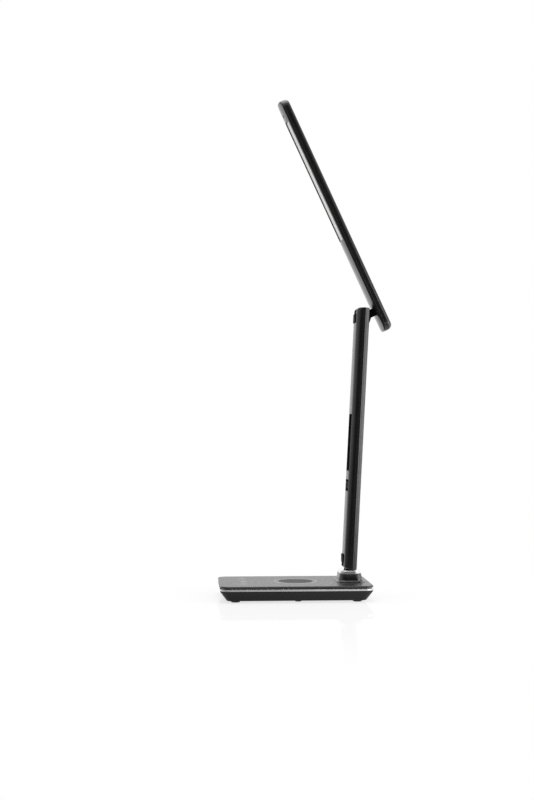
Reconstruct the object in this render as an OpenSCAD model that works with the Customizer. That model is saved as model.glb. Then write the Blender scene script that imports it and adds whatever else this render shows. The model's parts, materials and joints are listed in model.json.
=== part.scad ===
// Folding LED desk lamp: a flat base with a wireless charging pad, a slim stem with a
// small clock display, and a long flat lamp head. The stem folds forward onto the base
// and the head folds onto the stem. The origin is the centre of the base at desk level,
// +X points to the back of the lamp, and +Z is up.

/* [Base] */
// Length of the base, front to back
base_len = 168; // [150:1:190]
// Width of the base, side to side
base_w = 105; // [96:1:120]
// Radius of the base's corners seen from above
base_corner_r = 10; // [8:0.5:14]
// Height that the rubber feet stand proud of the bottom
foot_stand = 2.5; // [1.5:0.1:4]
// Height of the lower shell
shell_h = 10.8; // [9.5:0.1:14]
// How far the bottom edge of the lower shell is set in
shell_slope = 7.5; // [4:0.1:9]
// Wall thickness of the lower shell
shell_wall = 2; // [1.4:0.1:2.6]
// Height of the bright trim ring
trim_h = 2.7; // [2:0.1:4]
// How far the trim ring stands out from the cover
trim_proud = 0.4; // [0.1:0.1:1]
// Thickness of the top cover
cover_t = 2.2; // [1.8:0.1:3]
// Diameter of the charging pad
pad_d = 38; // [30:1:46]
// Diameter of the corner feet
foot_d = 10; // [8:0.5:12]
// Diameter of the two middle feet
mid_foot_d = 7; // [5:0.5:9]

/* [Pedestal] */
// Distance of the pedestal's middle from the back end of the base
pedestal_inset = 21.2; // [20:0.1:24]
// Height of the pedestal above the cover
pedestal_h = 10.8; // [9:0.1:14]
// Front to back size of the pedestal at its foot
pedestal_foot_l = 24.7; // [23:0.1:27]
// Side to side size of the pedestal at its foot
pedestal_foot_w = 39; // [37:0.5:44]
// Front to back size of the collar
collar_l = 19.8; // [19:0.1:22]
// Height of the bright collar
collar_h = 4.5; // [3:0.1:6]

/* [Stem] */
// Distance between the lower and the upper hinge axis
hinge_span = 275.6; // [260:0.2:300]
// Lean of the raised stem towards the back, in degrees
stem_lean = 3; // [0:0.5:5]
// Width of the stem, side to side
stem_w = 34; // [33:0.5:38]
// Thickness of the stem, front to back
stem_t = 14.5; // [14.4:0.1:15.5]
// Radius of the stem's long edges
stem_edge_r = 4.5; // [2:0.1:5]
// Height of the lower hinge axis above the collar
hinge_rise = 9.7; // [9.6:0.1:11]
// Length of the opening for the display window
display_len = 64; // [50:1:68]
// Width of the openings for the display window and for the keys
window_w = 24.6; // [24.2:0.1:25.2]
// Distance of the display opening above the lower hinge axis
display_rise = 98.8; // [98:0.2:115]
// Distance of the key opening above the lower hinge axis
keys_rise = 76; // [72:0.5:80]
// Travel of each key
key_travel = 0.8; // [0.4:0.1:0.8]

/* [Hinges] */
// Radius of the two hinge knuckles
knuckle_r = 9.1; // [8.8:0.1:9.3]
// Width of the two hinge knuckles
knuckle_w = 17; // [14:0.5:18]
// Radius of the hinge pins
pin_r = 2.5; // [1.5:0.1:3]
// Thickness of the friction washers
washer_t = 0.5; // [0.3:0.1:0.8]

/* [Head] */
// Length of the head
head_len = 282; // [266:1:290]
// Width of the head
head_w = 34; // [33:0.5:38]
// Thickness of the head
head_t = 10.8; // [10.6:0.1:11]
// Length of the head behind the upper hinge axis
head_tail = 25.6; // [25:0.1:31]
// Distance from the upper hinge axis to the underside of the head
head_gap = 13.6; // [12.6:0.1:13.9]
// Forward lean of the raised head from upright, in degrees
head_lean = 24.8; // [20:0.2:30]
// Length of the light panel
panel_len = 148; // [120:1:156]
// Width of the light panel
panel_w = 24; // [20:0.5:25]
// Distance of the light panel from the tip of the head
panel_from_tip = 22.5; // [20:0.5:30]

/* [Hidden] */
$fn = 64;

// Shared clearances, overruns and thin slices
cut = 1;
play = 0.05;
slip = 0.15;
snug = 0.1;
slice = 0.02;

// Levels of the base
z_shell = foot_stand;
z_rim = z_shell + shell_h;
z_cover = z_rim + trim_h;
z_top = z_cover + cover_t;
shell_band = 1.5;
shell_floor = 1.8;
z_floor = z_shell + shell_floor;
inner_l = base_len - 2*shell_wall;
inner_w = base_w - 2*shell_wall;
inner_r = base_corner_r - shell_wall;
pedestal_x = base_len/2 - pedestal_inset;

// Inner pieces of the base
lip_t = 1.4;
lip_h = 2.2;
cover_edge = 0.9;
trim_bevel = 0.8;
ballast_t = 3;
ballast_end_gap = 18;
ballast_side_gap = 16.5;
ballast_l = base_len - 2*ballast_end_gap;
ballast_w = base_w - 2*ballast_side_gap;
board_t = 1.6;
base_board_l = 34;
base_board_side_gap = 22.5;
base_board_w = base_w - 2*base_board_side_gap;
base_board_x = 18;
standoff_r = 3;
standoff_h = 3;
standoff_inset = 5;
coil_r = 24;
coil_eye_r = 10;
coil_t = 1;
shield_r = 25;
shield_t = 1.4;
pad_x = 2;
pad_t = 0.8;
pad_sink = 0.1;
ring_r = 23.5;
ring_band = 0.7;
ring_t = 0.5;
touch_inset = 27;
touch_x = touch_inset - base_len/2;
touch_pitch = 25;
touch_r = 3.4;
touch_line = 0.6;
touch_t = 0.4;
touch_board_l = 12;
touch_board_side_gap = 19.5;
touch_board_w = base_w - 2*touch_board_side_gap;
touch_share = 0.45;

// Power inlet at the back of the lower shell
inlet_w = 9.2;
inlet_h = 3.6;
inlet_wall = 0.5;
inlet_depth = 7.5;
inlet_z = 8.2;
inlet_mouth = 5.2;
inlet_tongue_w = 6.6;
inlet_tongue_t = 0.7;
inlet_clear = 0.9;
inlet_back = base_len/2 - inlet_mouth - inlet_depth;

// Screws of the base
screw_r = 1.3;
screw_head_r = 2.6;
screw_head_h = 1;
post_r = 3.2;
post_end_gap = 32;
post_side_gap = 14.5;
post_x = base_len/2 - post_end_gap;
post_y = base_w/2 - post_side_gap;
screw_grip = 6;

// Feet
foot_sink = 0.8;
foot_end_gap = 17;
foot_side_gap = 14.5;
foot_x = base_len/2 - foot_end_gap;
foot_y = base_w/2 - foot_side_gap;
mid_foot_x = 2;
mid_foot_side_gap = 17.5;
mid_foot_y = base_w/2 - mid_foot_side_gap;
foot_edge = 0.6;

// Pedestal, collar and lower knuckle
pedestal_r = 5;
pedestal_w = 35.4;
pedestal_l = 20.2;
flange_h = 1.4;
flange_in = 1;
collar_w = 35;
collar_r = 5;
z_collar = z_top + pedestal_h;
z_collar_top = z_collar + collar_h;
tenon_l = 9;
tenon_w = 13;
tenon_depth = 11;
neck_front = 5.5;
neck_back = 4.4;
knuckle_cut = 5;
knuckle_clear = 0.2;
foot_screw_r = 1.5;
foot_screw_y = 12.5;
foot_screw_grip = 8;
foot_screw_head_r = 2.8;
foot_screw_head_h = 1.6;

// Hinge axes
hinge_z = z_collar_top + hinge_rise;
slot_w = knuckle_w + 2*(washer_t + play);
slot_gap = 0.25;
slot_r = knuckle_r + slot_gap;
upper_slot_gap = 1.5;
upper_slot_r = knuckle_r + upper_slot_gap;
pin_bore_r = pin_r + play;
ear_h = stem_t/2;
ear_front_r = 3.6;
ear_back_r = 1.4;
pin_end = 15.2;
cap_r = 3;
cap_t = 1.5;
washer_r = 7;

// Inside of the stem, seen from its front face at -stem_t/2
stem_front = -stem_t/2;
stem_back = stem_t/2;
front_wall = 2.4;
inner_face = stem_front + front_wall;
cavity_r = 1;
side_wall = 1.8;
back_wall = 1.6;
stem_split = 3.5;
stem_foot = 7.7;
stem_foot_r = 3;
slot_floor = 2.6;
cavity_low = slot_r + slot_floor;
cavity_high = hinge_span - upper_slot_r - slot_floor;
window_t = 1.2;
window_lap = 1.5;
lcd_margin = 1.8;
lcd_t = 2.4;
control_t = 1.2;
control_w = 25;
control_over = 3.5;
battery_r = 10;
battery_t = 2.5;
spine_t = 1.5;
spine_w = 24;
spine_gap = 3;
boss_r = 2.6;
boss_step = 24;
boss_below_keys = 21.5;
boss_below_top = 14.4;
boss_places = [
  boss_step, keys_rise - boss_below_keys,
  display_rise + display_len + boss_step, cavity_high - boss_below_top
];
spine_screw_r = 1.1;
spine_screw_head_r = 1.9;
spine_screw_head_h = 0.55;
spine_screw_len = 6;
ribbon_w = 6;
ribbon_t = 0.8;
ribbon_y = 8.5;

// Keys
key_plate_len = 13;
key_pitch = 7;
key_w = 5.6;
key_len = 8.4;
key_proud = 1;
key_flange = 0.4;
key_flange_t = 0.5;
key_post_r = 1.2;
switch_w = 4;
switch_t = 0.6;
key_post_len = lcd_t - switch_t - key_flange_t - key_travel - play;

// Head, seen from its underside at head_gap
head_tip = head_len - head_tail;
head_side_wall = 1.8;
head_floor = 2;
head_roof = 1.8;
head_split = 4;
head_edge_r = 4.5;
head_low_r = 2.2;
head_tip_r = 5.5;
head_tail_r = 8;
head_plan_r = 8;
panel_high = head_tip - panel_from_tip;
panel_low = panel_high - panel_len;
panel_over = 2;
diffuser_t = 1.5;
guide_t = 2.5;
guide_w = 23;
reflector_t = 0.3;
heat_t = 1.2;
strip_t = 0.8;
led_t = 0.6;
led_l = 3;
led_h = 2.2;
led_pitch = 6.1;
led_count = 24;
plug_r = 1.6;
plug_from_tip = 15.5;
plug_t = 1.6;
plug_sink = 0.3;
boss_half = 7.3;
flange_l = 24;
flange_w = 26;
flange_t = 2;
knuckle_screw_r = 1.1;
knuckle_screw_head_r = 2;
knuckle_screw_head_h = 0.9;
knuckle_screw_x = 9.6;
knuckle_screw_y = 10.6;
knuckle_screw_len = 1.6;
rib_t = 1.2;
rib_pitch = 36;

// Plan of a rectangle with round corners, around the origin
module round_plan(l, w, r) {
  square([l - 2*r, w], center = true);
  square([l, w - 2*r], center = true);
  for (sx = [-1, 1], sy = [-1, 1])
    translate([sx*(l/2 - r), sy*(w/2 - r)]) circle(r);
}

// Slab with round corners standing on the XY plane
module round_slab(l, w, r, h) linear_extrude(h) round_plan(l, w, r);

// Prism that tapers from one rounded plan to another
module taper(l0, w0, r0, l1, w1, r1, h) {
  hull() {
    round_slab(l0, w0, r0, slice);
    translate([0, 0, h - slice]) round_slab(l1, w1, r1, slice);
  }
}

// Frames of the stem and of the head, with their hinge axis on Y
module stem_frame() translate([pedestal_x, 0, hinge_z]) rotate([0, stem_lean, 0]) children();
module upper_frame() stem_frame() translate([0, 0, hinge_span]) children();
module head_frame() upper_frame() rotate([0, -head_lean - stem_lean, 0]) children();

// Cylinder of the given radius and length along Y, centred on the origin
module y_rod(r, len) rotate([90, 0, 0]) cylinder(r = r, h = len, center = true);

// Cylinder along X from x0 to x1
module x_rod(r, x0, x1) translate([x0, 0, 0]) rotate([0, 90, 0]) cylinder(r = r, h = x1 - x0);

// Box from x0 to x1, centred on Y, from z0 to z1
module block(x0, x1, w, z0, z1) translate([x0, -w/2, z0]) cube([x1 - x0, w, z1 - z0]);

// Places of the four case screws
module at_posts() for (sx = [-1, 1], sy = [-1, 1]) translate([sx*post_x, sy*post_y, 0]) children();

// Places of the corner feet and the middle feet
module at_corner_feet() for (sx = [-1, 1], sy = [-1, 1]) translate([sx*foot_x, sy*foot_y, 0]) children();
module at_middle_feet() for (sy = [-1, 1]) translate([mid_foot_x, sy*mid_foot_y, 0]) children();

// Places of the two screws that hold the pedestal from below
module at_foot_screws() for (sy = [-1, 1]) translate([pedestal_x, sy*foot_screw_y, 0]) children();

// Places of the four standoffs under the base board
module at_standoffs() {
  for (sx = [-1, 1], sy = [-1, 1])
    translate([base_board_x + sx*(base_board_l/2 - standoff_inset),
               sy*(base_board_w/2 - standoff_inset), 0]) children();
}

// Places of the three touch marks
module at_touch() for (k = [-1, 0, 1]) translate([touch_x, k*touch_pitch, 0]) children();

module base_top_cover() color("dimgray") {
  difference() {
    union() {
      translate([0, 0, z_cover]) round_slab(base_len, base_w, base_corner_r, cover_t - cover_edge);
      translate([0, 0, z_top - cover_edge])
        taper(base_len, base_w, base_corner_r,
              base_len - 2*cover_edge, base_w - 2*cover_edge, base_corner_r - cover_edge, cover_edge);
      translate([0, 0, z_cover - lip_h]) difference() {
        round_slab(inner_l - 2*snug, inner_w - 2*snug, inner_r - snug, lip_h + slice);
        translate([0, 0, -cut])
          round_slab(inner_l - 2*lip_t, inner_w - 2*lip_t, inner_r - lip_t, lip_h + 2*cut);
      }
      at_posts() translate([0, 0, z_floor + snug]) cylinder(r = post_r, h = z_cover - z_floor);
    }
    at_posts() translate([0, 0, z_floor - cut]) cylinder(r = screw_r, h = screw_grip + cut);
    at_foot_screws() cylinder(r = foot_screw_r + snug, h = z_top + cut);
    translate([pad_x, 0, z_top - pad_t - pad_sink]) cylinder(d = pad_d + 2*snug, h = pad_t + cut);
    translate([pad_x, 0, z_top - ring_t]) difference() {
      cylinder(r = ring_r + ring_band/2, h = ring_t + cut);
      translate([0, 0, -cut]) cylinder(r = ring_r - ring_band/2, h = ring_t + 3*cut);
    }
    at_touch() translate([0, 0, z_top - touch_t]) touch_mark(touch_t + cut);
  }
}

// A ring with a dot, cut or filled to the given height
module touch_mark(h) {
  difference() {
    cylinder(r = touch_r, h = h);
    translate([0, 0, -cut]) cylinder(r = touch_r - touch_line, h = h + 2*cut);
  }
  cylinder(r = touch_r*touch_share, h = h);
}

module base_lower_shell() color("black") {
  band_z = shell_h - shell_band;
  low_l = base_len - 2*shell_slope;
  low_w = base_w - 2*shell_slope;
  low_r = base_corner_r/2;
  difference() {
    translate([0, 0, z_shell]) union() {
      taper(low_l, low_w, low_r, base_len, base_w, base_corner_r, band_z);
      translate([0, 0, band_z]) round_slab(base_len, base_w, base_corner_r, shell_band);
    }
    difference() {
      translate([0, 0, z_floor]) union() {
        taper(low_l - 2*shell_wall, low_w - 2*shell_wall, low_r,
              inner_l, inner_w, inner_r, band_z - shell_floor);
        translate([0, 0, band_z - shell_floor - slice])
          round_slab(inner_l, inner_w, inner_r, shell_band + cut);
      }
      at_standoffs() cylinder(r = standoff_r, h = z_floor + ballast_t + standoff_h);
      block(inlet_back, base_len/2, inlet_w + 4*shell_wall, z_floor - cut, inlet_z - inlet_h/2 - inlet_wall);
    }
    at_posts() cylinder(r = screw_r + snug, h = z_rim);
    at_posts() translate([0, 0, z_shell - cut]) cylinder(r = screw_head_r + snug, h = screw_head_h + cut);
    at_corner_feet() cylinder(d = foot_d, h = z_shell + foot_sink);
    at_middle_feet() cylinder(d = mid_foot_d, h = z_shell + foot_sink);
    block(inlet_back, base_len, inlet_w + 2*inlet_wall + 2*snug,
          inlet_z - inlet_h/2 - inlet_wall, inlet_z + inlet_h/2 + inlet_wall + snug);
    translate([base_len/2 - inlet_mouth, 0, 0])
      block(0, base_len, inlet_w + 2*inlet_wall + 2*inlet_clear,
            inlet_z - inlet_h/2 - inlet_wall, inlet_z + inlet_h/2 + inlet_wall + inlet_clear);
  }
}

module trim_ring() color("silver") {
  full_l = base_len + 2*trim_proud;
  full_w = base_w + 2*trim_proud;
  full_r = base_corner_r + trim_proud;
  straight_h = trim_h - 2*trim_bevel;
  difference() {
    translate([0, 0, z_rim]) union() {
      taper(full_l - 2*trim_bevel, full_w - 2*trim_bevel, full_r - trim_bevel,
            full_l, full_w, full_r, trim_bevel);
      translate([0, 0, trim_bevel]) round_slab(full_l, full_w, full_r, straight_h);
      translate([0, 0, trim_bevel + straight_h])
        taper(full_l, full_w, full_r,
              full_l - 2*trim_bevel, full_w - 2*trim_bevel, full_r - trim_bevel, trim_bevel);
    }
    translate([0, 0, z_rim - cut]) round_slab(inner_l, inner_w, inner_r, trim_h + 2*cut);
  }
}

module ballast_plate() color("slategray") difference() {
  translate([0, 0, z_floor]) round_slab(ballast_l, ballast_w, base_corner_r/2, ballast_t);
  at_posts() cylinder(r = post_r + cut, h = z_cover);
  at_standoffs() cylinder(r = standoff_r + slip, h = z_cover);
  at_foot_screws() cylinder(r = foot_screw_head_r + cut, h = z_cover);
}

module charge_pad() color([0.3, 0.3, 0.3]) {
  translate([pad_x, 0, z_top - pad_t - pad_sink]) cylinder(d = pad_d, h = pad_t);
}

module pad_ring() color("gray") translate([pad_x, 0, z_top - ring_t]) difference() {
  cylinder(r = ring_r + ring_band/2, h = ring_t);
  translate([0, 0, -cut]) cylinder(r = ring_r - ring_band/2, h = ring_t + 2*cut);
}

module charging_coil() color("peru") translate([pad_x, 0, z_cover - coil_t]) difference() {
  cylinder(r = coil_r, h = coil_t);
  translate([0, 0, -cut]) cylinder(r = coil_eye_r, h = coil_t + 2*cut);
}

module coil_shield() color([0.25, 0.25, 0.28]) {
  translate([pad_x, 0, z_cover - coil_t - shield_t]) cylinder(r = shield_r, h = shield_t);
}

module base_board() color("darkgreen") difference() {
  translate([base_board_x, 0, z_floor + ballast_t + standoff_h])
    round_slab(base_board_l, base_board_w, standoff_r/2, board_t);
  at_standoffs() cylinder(r = screw_r, h = z_cover);
}

module touch_board() color("darkgreen") {
  translate([touch_x, 0, z_cover - board_t])
    round_slab(touch_board_l, touch_board_w, standoff_r/2, board_t);
}

module touch_marks() color("lightgray") {
  at_touch() translate([0, 0, z_top - touch_t]) touch_mark(touch_t);
}

module power_inlet() color("silver") translate([inlet_back, 0, 0]) difference() {
  block(0, inlet_depth, inlet_w + 2*inlet_wall,
        inlet_z - inlet_h/2 - inlet_wall, inlet_z + inlet_h/2 + inlet_wall);
  difference() {
    block(inlet_wall, inlet_depth + cut, inlet_w, inlet_z - inlet_h/2, inlet_z + inlet_h/2);
    block(0, inlet_depth - inlet_wall, inlet_tongue_w,
          inlet_z - inlet_tongue_t/2, inlet_z + inlet_tongue_t/2);
  }
}

// Round rubber foot with a bevelled tread
module rubber_foot(d) {
  cylinder(r1 = d/2 - foot_edge, r2 = d/2, h = foot_edge);
  translate([0, 0, foot_edge]) cylinder(d = d, h = z_shell + foot_sink - foot_edge);
}

module corner_feet() color([0.12, 0.12, 0.12]) at_corner_feet() rubber_foot(foot_d);

module middle_feet() color([0.12, 0.12, 0.12]) at_middle_feet() rubber_foot(mid_foot_d);

module case_screws() color("darkgray") at_posts() {
  translate([0, 0, z_shell]) difference() {
    cylinder(r = screw_head_r, h = screw_head_h);
    cross_slot(screw_head_r, screw_head_h);
  }
  translate([0, 0, z_shell + screw_head_h]) cylinder(r = screw_r, h = shell_floor + screw_grip - screw_head_h);
}

// Cross recess in the lower face of a screw head
module cross_slot(head_r, head_h) {
  for (turn = [0, 90])
    rotate([0, 0, turn])
      translate([-head_r/2, -head_r/8, -head_h/2]) cube([head_r, head_r/4, head_h]);
}

module pedestal() color("black") difference() {
  translate([pedestal_x, 0, z_top]) union() {
    round_slab(pedestal_foot_l, pedestal_foot_w, pedestal_r, flange_h);
    translate([0, 0, flange_h])
      taper(pedestal_foot_l - 2*flange_in, pedestal_foot_w - 2*flange_in, pedestal_r,
            pedestal_l, pedestal_w, pedestal_r, pedestal_h - flange_h);
  }
  translate([pedestal_x, 0, 0])
    block(-tenon_l/2 - snug, tenon_l/2 + snug, tenon_w + 2*snug, z_collar_top - tenon_depth - snug - collar_h, z_collar_top);
  at_foot_screws() cylinder(r = foot_screw_r, h = z_top + foot_screw_grip);
}

module pedestal_screws() color("darkgray") at_foot_screws() {
  translate([0, 0, z_cover - foot_screw_head_h]) difference() {
    cylinder(r = foot_screw_head_r, h = foot_screw_head_h);
    cross_slot(foot_screw_head_r, foot_screw_head_h);
  }
  translate([0, 0, z_cover]) cylinder(r = foot_screw_r, h = cover_t + foot_screw_grip);
}

module collar() color("silver") translate([pedestal_x, 0, z_collar]) difference() {
  union() {
    round_slab(collar_l, collar_w, collar_r, collar_h - trim_bevel);
    translate([0, 0, collar_h - trim_bevel])
      taper(collar_l, collar_w, collar_r,
            collar_l - 2*trim_bevel, collar_w - 2*trim_bevel, collar_r - trim_bevel, trim_bevel);
  }
  block(-tenon_l/2 - snug, tenon_l/2 + snug, tenon_w + 2*snug, -cut, collar_h + cut);
}

module lower_knuckle() color([0.08, 0.08, 0.08]) translate([pedestal_x, 0, hinge_z]) difference() {
  union() {
    intersection() {
      y_rod(knuckle_r, knuckle_w);
      union() {
        rotate([0, stem_lean, 0]) block(-2*knuckle_r, knuckle_cut, knuckle_w, -2*knuckle_r, 0);
        block(-2*knuckle_r, 0, knuckle_w, -2*knuckle_r, knuckle_cut);
        y_rod(knuckle_cut, knuckle_w);
      }
    }
    block(-neck_front, neck_back, knuckle_w, -hinge_rise, -knuckle_r/2);
    block(-tenon_l/2, tenon_l/2, tenon_w, -hinge_rise - tenon_depth, -knuckle_r/2);
  }
  y_rod(pin_bore_r, knuckle_w + 2*cut);
}

// Outer form of the whole stem in its own frame
module stem_form() {
  intersection() {
    translate([0, 0, -stem_foot]) linear_extrude(hinge_span + ear_h + stem_foot)
      round_plan(stem_t, stem_w, stem_edge_r);
    union() {
      block(-stem_t, stem_t, stem_w + 2*cut, -stem_foot + stem_foot_r, hinge_span);
      block(stem_front + stem_foot_r, stem_back - stem_foot_r, stem_w + 2*cut, -stem_foot, 0);
      for (side = [-1, 1])
        translate([side*(stem_back - stem_foot_r), 0, stem_foot_r - stem_foot])
          y_rod(stem_foot_r, stem_w + 2*cut);
      translate([0, 0, hinge_span]) stem_ear();
    }
  }
}

// Top end of the stem above the upper hinge axis, rounded more in front than behind
module stem_ear() {
  block(-stem_t, stem_t, stem_w + 2*cut, -ear_h, ear_h - ear_front_r);
  block(stem_front + ear_front_r, stem_t, stem_w + 2*cut, 0, ear_h - ear_back_r);
  block(stem_front + ear_front_r, stem_back - ear_back_r, stem_w + 2*cut, 0, ear_h);
  translate([stem_front + ear_front_r, 0, ear_h - ear_front_r]) y_rod(ear_front_r, stem_w + 2*cut);
  translate([stem_back - ear_back_r, 0, ear_h - ear_back_r]) y_rod(ear_back_r, stem_w + 2*cut);
}

// Space inside the stem
module stem_cavity() {
  translate([0, 0, cavity_low]) linear_extrude(cavity_high - cavity_low)
    translate([(front_wall - back_wall)/2, 0])
      round_plan(stem_t - front_wall - back_wall, stem_w - 2*side_wall, cavity_r);
}

// Slots in which the knuckles turn, and the bores of their pins
module stem_slots() {
  intersection() {
    union() {
      y_rod(slot_r, slot_w);
      block(-stem_t, stem_split, slot_w, -2*stem_foot, 0);
    }
    block(-2*stem_t, knuckle_cut + knuckle_clear, slot_w, -2*stem_foot, 2*slot_r);
  }
  translate([0, 0, hinge_span]) {
    y_rod(upper_slot_r, slot_w);
    block(-stem_t, stem_t, slot_w, 0, 2*ear_h);
  }
  for (z = [0, hinge_span]) translate([0, 0, z]) {
    translate([0, (stem_w/2 - pin_end)/2 + cut/2, 0]) y_rod(pin_bore_r, pin_end + stem_w/2 + cut);
    translate([0, stem_w/2 - cap_t/2 + cut/2, 0]) y_rod(cap_r + play, cap_t + cut);
  }
}

module stem_front_shell() color([0.1, 0.1, 0.1]) stem_frame() difference() {
  intersection() {
    stem_form();
    block(-stem_t, stem_split, 2*stem_w, -2*stem_foot, 2*hinge_span);
  }
  difference() {
    stem_cavity();
    for (z = boss_places) translate([0, 0, z]) x_rod(boss_r, stem_front, stem_split);
  }
  for (z = boss_places) translate([0, 0, z]) x_rod(spine_screw_r, stem_split - spine_screw_len, stem_split + cut);
  stem_slots();
  block(-stem_t, 0, window_w, display_rise, display_rise + display_len);
  block(-stem_t, 0, window_w, keys_rise, keys_rise + key_plate_len);
}

module stem_rear_shell() color([0.13, 0.13, 0.13]) stem_frame() difference() {
  intersection() {
    stem_form();
    block(stem_split, stem_t, 2*stem_w, -2*stem_foot, 2*hinge_span);
  }
  stem_cavity();
  stem_slots();
}

module stem_spine() color("slategray") stem_frame() difference() {
  block(stem_split, stem_split + spine_t, spine_w, cavity_low + spine_gap, cavity_high - spine_gap);
  for (z = boss_places) translate([0, 0, z]) x_rod(spine_screw_r + play, 0, stem_t);
}

module spine_screws() color("darkgray") stem_frame() for (z = boss_places) translate([0, 0, z]) {
  x_rod(spine_screw_head_r, stem_split + spine_t, stem_split + spine_t + spine_screw_head_h);
  x_rod(spine_screw_r, stem_split - spine_screw_len, stem_split + spine_t);
}

module stem_ribbon() color("ivory") stem_frame() translate([0, ribbon_y, 0])
  block(stem_split - ribbon_t, stem_split, ribbon_w, cavity_low + spine_gap, cavity_high - spine_gap);

// The window is bonded behind its opening in the front wall
module display_window() color([0.03, 0.03, 0.03]) stem_frame()
  block(inner_face, inner_face + window_t, window_w + 2*window_lap,
        display_rise - window_lap, display_rise + display_len + window_lap);

module lcd_panel() color([0.45, 0.5, 0.45]) stem_frame()
  block(inner_face + window_t, control_face, window_w - 2*lcd_margin,
        display_rise + lcd_margin, display_rise + display_len - lcd_margin);

// Face of the control board that carries the display and the key switches
control_face = inner_face + window_t + lcd_t;

module control_board() color("darkgreen") stem_frame()
  block(control_face, control_face + control_t, control_w,
        keys_rise - control_over, display_rise + display_len + control_over);

module clock_battery() color("silver") stem_frame()
  translate([0, 0, display_rise + display_len/2])
    x_rod(battery_r, control_face + control_t, control_face + control_t + battery_t);

// Middle height of the keys
keys_mid = keys_rise + key_plate_len/2;

module key_plate() color([0.05, 0.05, 0.05]) stem_frame() difference() {
  block(inner_face, inner_face + window_t, window_w + 2*window_lap,
        keys_rise - window_lap, keys_rise + key_plate_len + window_lap);
  for (k = [-1, 0, 1]) translate([0, k*key_pitch, keys_mid])
    block(-stem_t, 0, key_w + 2*slip, -key_len/2 - slip, key_len/2 + slip);
}

module key_switches() color("gray") stem_frame() for (k = [-1, 0, 1]) translate([0, k*key_pitch, keys_mid])
  block(control_face - switch_t, control_face, switch_w, -switch_w/2, switch_w/2);

// One key: its cap, the flange that holds it in the plate and the post that works the switch
module key(k) stem_frame() translate([0, k*key_pitch, keys_mid]) {
  back = inner_face + window_t;
  block(inner_face - key_proud, back, key_w, -key_len/2, key_len/2);
  block(back, back + key_flange_t, key_w + 2*key_flange, -key_len/2 - key_flange, key_len/2 + key_flange);
  x_rod(key_post_r, back + key_flange_t, back + key_flange_t + key_post_len);
}

module key_left() color([0.2, 0.2, 0.2]) key(-1);

module key_middle() color([0.2, 0.2, 0.2]) key(0);

module key_right() color([0.2, 0.2, 0.2]) key(1);

// Hinge pin between the two ears of the stem
module hinge_pin() translate([0, (stem_w/2 - cap_t - pin_end)/2, 0]) y_rod(pin_r, pin_end + stem_w/2 - cap_t);

module lower_pin() color("silver") stem_frame() hinge_pin();

module upper_pin() color("silver") upper_frame() hinge_pin();

// Two thin washers between the ears and the knuckle
module washer_pair() for (side = [-1, 1]) translate([0, side*(slot_w - washer_t)/2, 0]) difference() {
  y_rod(washer_r, washer_t);
  y_rod(pin_bore_r, washer_t + cut);
}

module lower_washers() color("tan") stem_frame() intersection() {
  washer_pair();
  block(-stem_t, knuckle_cut, stem_w, -stem_foot, stem_t);
}

module upper_washers() color("tan") upper_frame() washer_pair();

module pin_caps() color([0.1, 0.1, 0.1]) for (z = [0, hinge_span]) stem_frame()
  translate([0, stem_w/2 - cap_t/2, z]) y_rod(cap_r, cap_t);

module upper_knuckle() color([0.08, 0.08, 0.08]) head_frame() difference() {
  union() {
    intersection() {
      y_rod(knuckle_r, knuckle_w);
      block(-2*knuckle_r, 2*knuckle_r, knuckle_w, -boss_half, boss_half);
    }
    block(0, head_gap + head_floor, knuckle_w, -boss_half, boss_half);
    block(head_gap + head_floor, head_gap + head_floor + flange_t, flange_w, -flange_l/2, flange_l/2);
  }
  y_rod(pin_bore_r, knuckle_w + 2*cut);
  at_knuckle_screws() x_rod(knuckle_screw_r + play, head_gap, head_gap + head_t);
}

// Places of the four screws through the knuckle's flange
module at_knuckle_screws() {
  for (sy = [-1, 1], sz = [-1, 1])
    translate([0, sy*knuckle_screw_y, sz*knuckle_screw_x]) children();
}

module knuckle_screws() color("darkgray") head_frame() at_knuckle_screws() {
  top = head_gap + head_floor + flange_t;
  x_rod(knuckle_screw_head_r, top, top + knuckle_screw_head_h);
  x_rod(knuckle_screw_r, top - flange_t - knuckle_screw_len, top);
}

// Outer form of the whole head in its own frame
module head_form() {
  mid = (head_tip - head_tail)/2;
  intersection() {
    translate([head_gap, 0, -head_tail]) linear_extrude(head_len) head_section();
    translate([head_gap, 0, mid]) rotate([0, 90, 0]) round_slab(head_len, head_w, head_plan_r, head_t);
    translate([0, head_w, 0]) rotate([90, 0, 0]) linear_extrude(2*head_w) head_profile();
  }
}

// Cross-section of the head: x is its thickness, y its width
module head_section() {
  translate([0, -head_w/2 + head_edge_r]) square([head_t, head_w - 2*head_edge_r]);
  translate([head_low_r, -head_w/2]) square([head_t - head_low_r - head_edge_r, head_w]);
  translate([0, -head_w/2 + head_low_r]) square([head_t - head_edge_r, head_w - 2*head_low_r]);
  for (side = [-1, 1]) {
    translate([head_low_r, side*(head_w/2 - head_low_r)]) circle(head_low_r);
    translate([head_t - head_edge_r, side*(head_w/2 - head_edge_r)]) circle(head_edge_r);
  }
}

// Side view of the head: x is its thickness, y its length
module head_profile() translate([head_gap, 0]) {
  translate([0, -head_tail + head_low_r]) square([head_t - head_tail_r, head_len - 2*head_low_r]);
  translate([head_low_r, -head_tail]) square([head_t - head_low_r - head_tail_r, head_len]);
  translate([head_t/2, -head_tail + head_tail_r]) square([head_t/2, head_len - head_tail_r - head_tip_r]);
  translate([head_low_r, head_tip - head_tip_r]) square([head_t - head_low_r - head_tip_r, head_tip_r]);
  for (y = [-head_tail + head_low_r, head_tip - head_low_r]) translate([head_low_r, y]) circle(head_low_r);
  translate([head_t - head_tail_r, -head_tail + head_tail_r]) circle(head_tail_r);
  translate([head_t - head_tip_r, head_tip - head_tip_r]) circle(head_tip_r);
}

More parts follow.
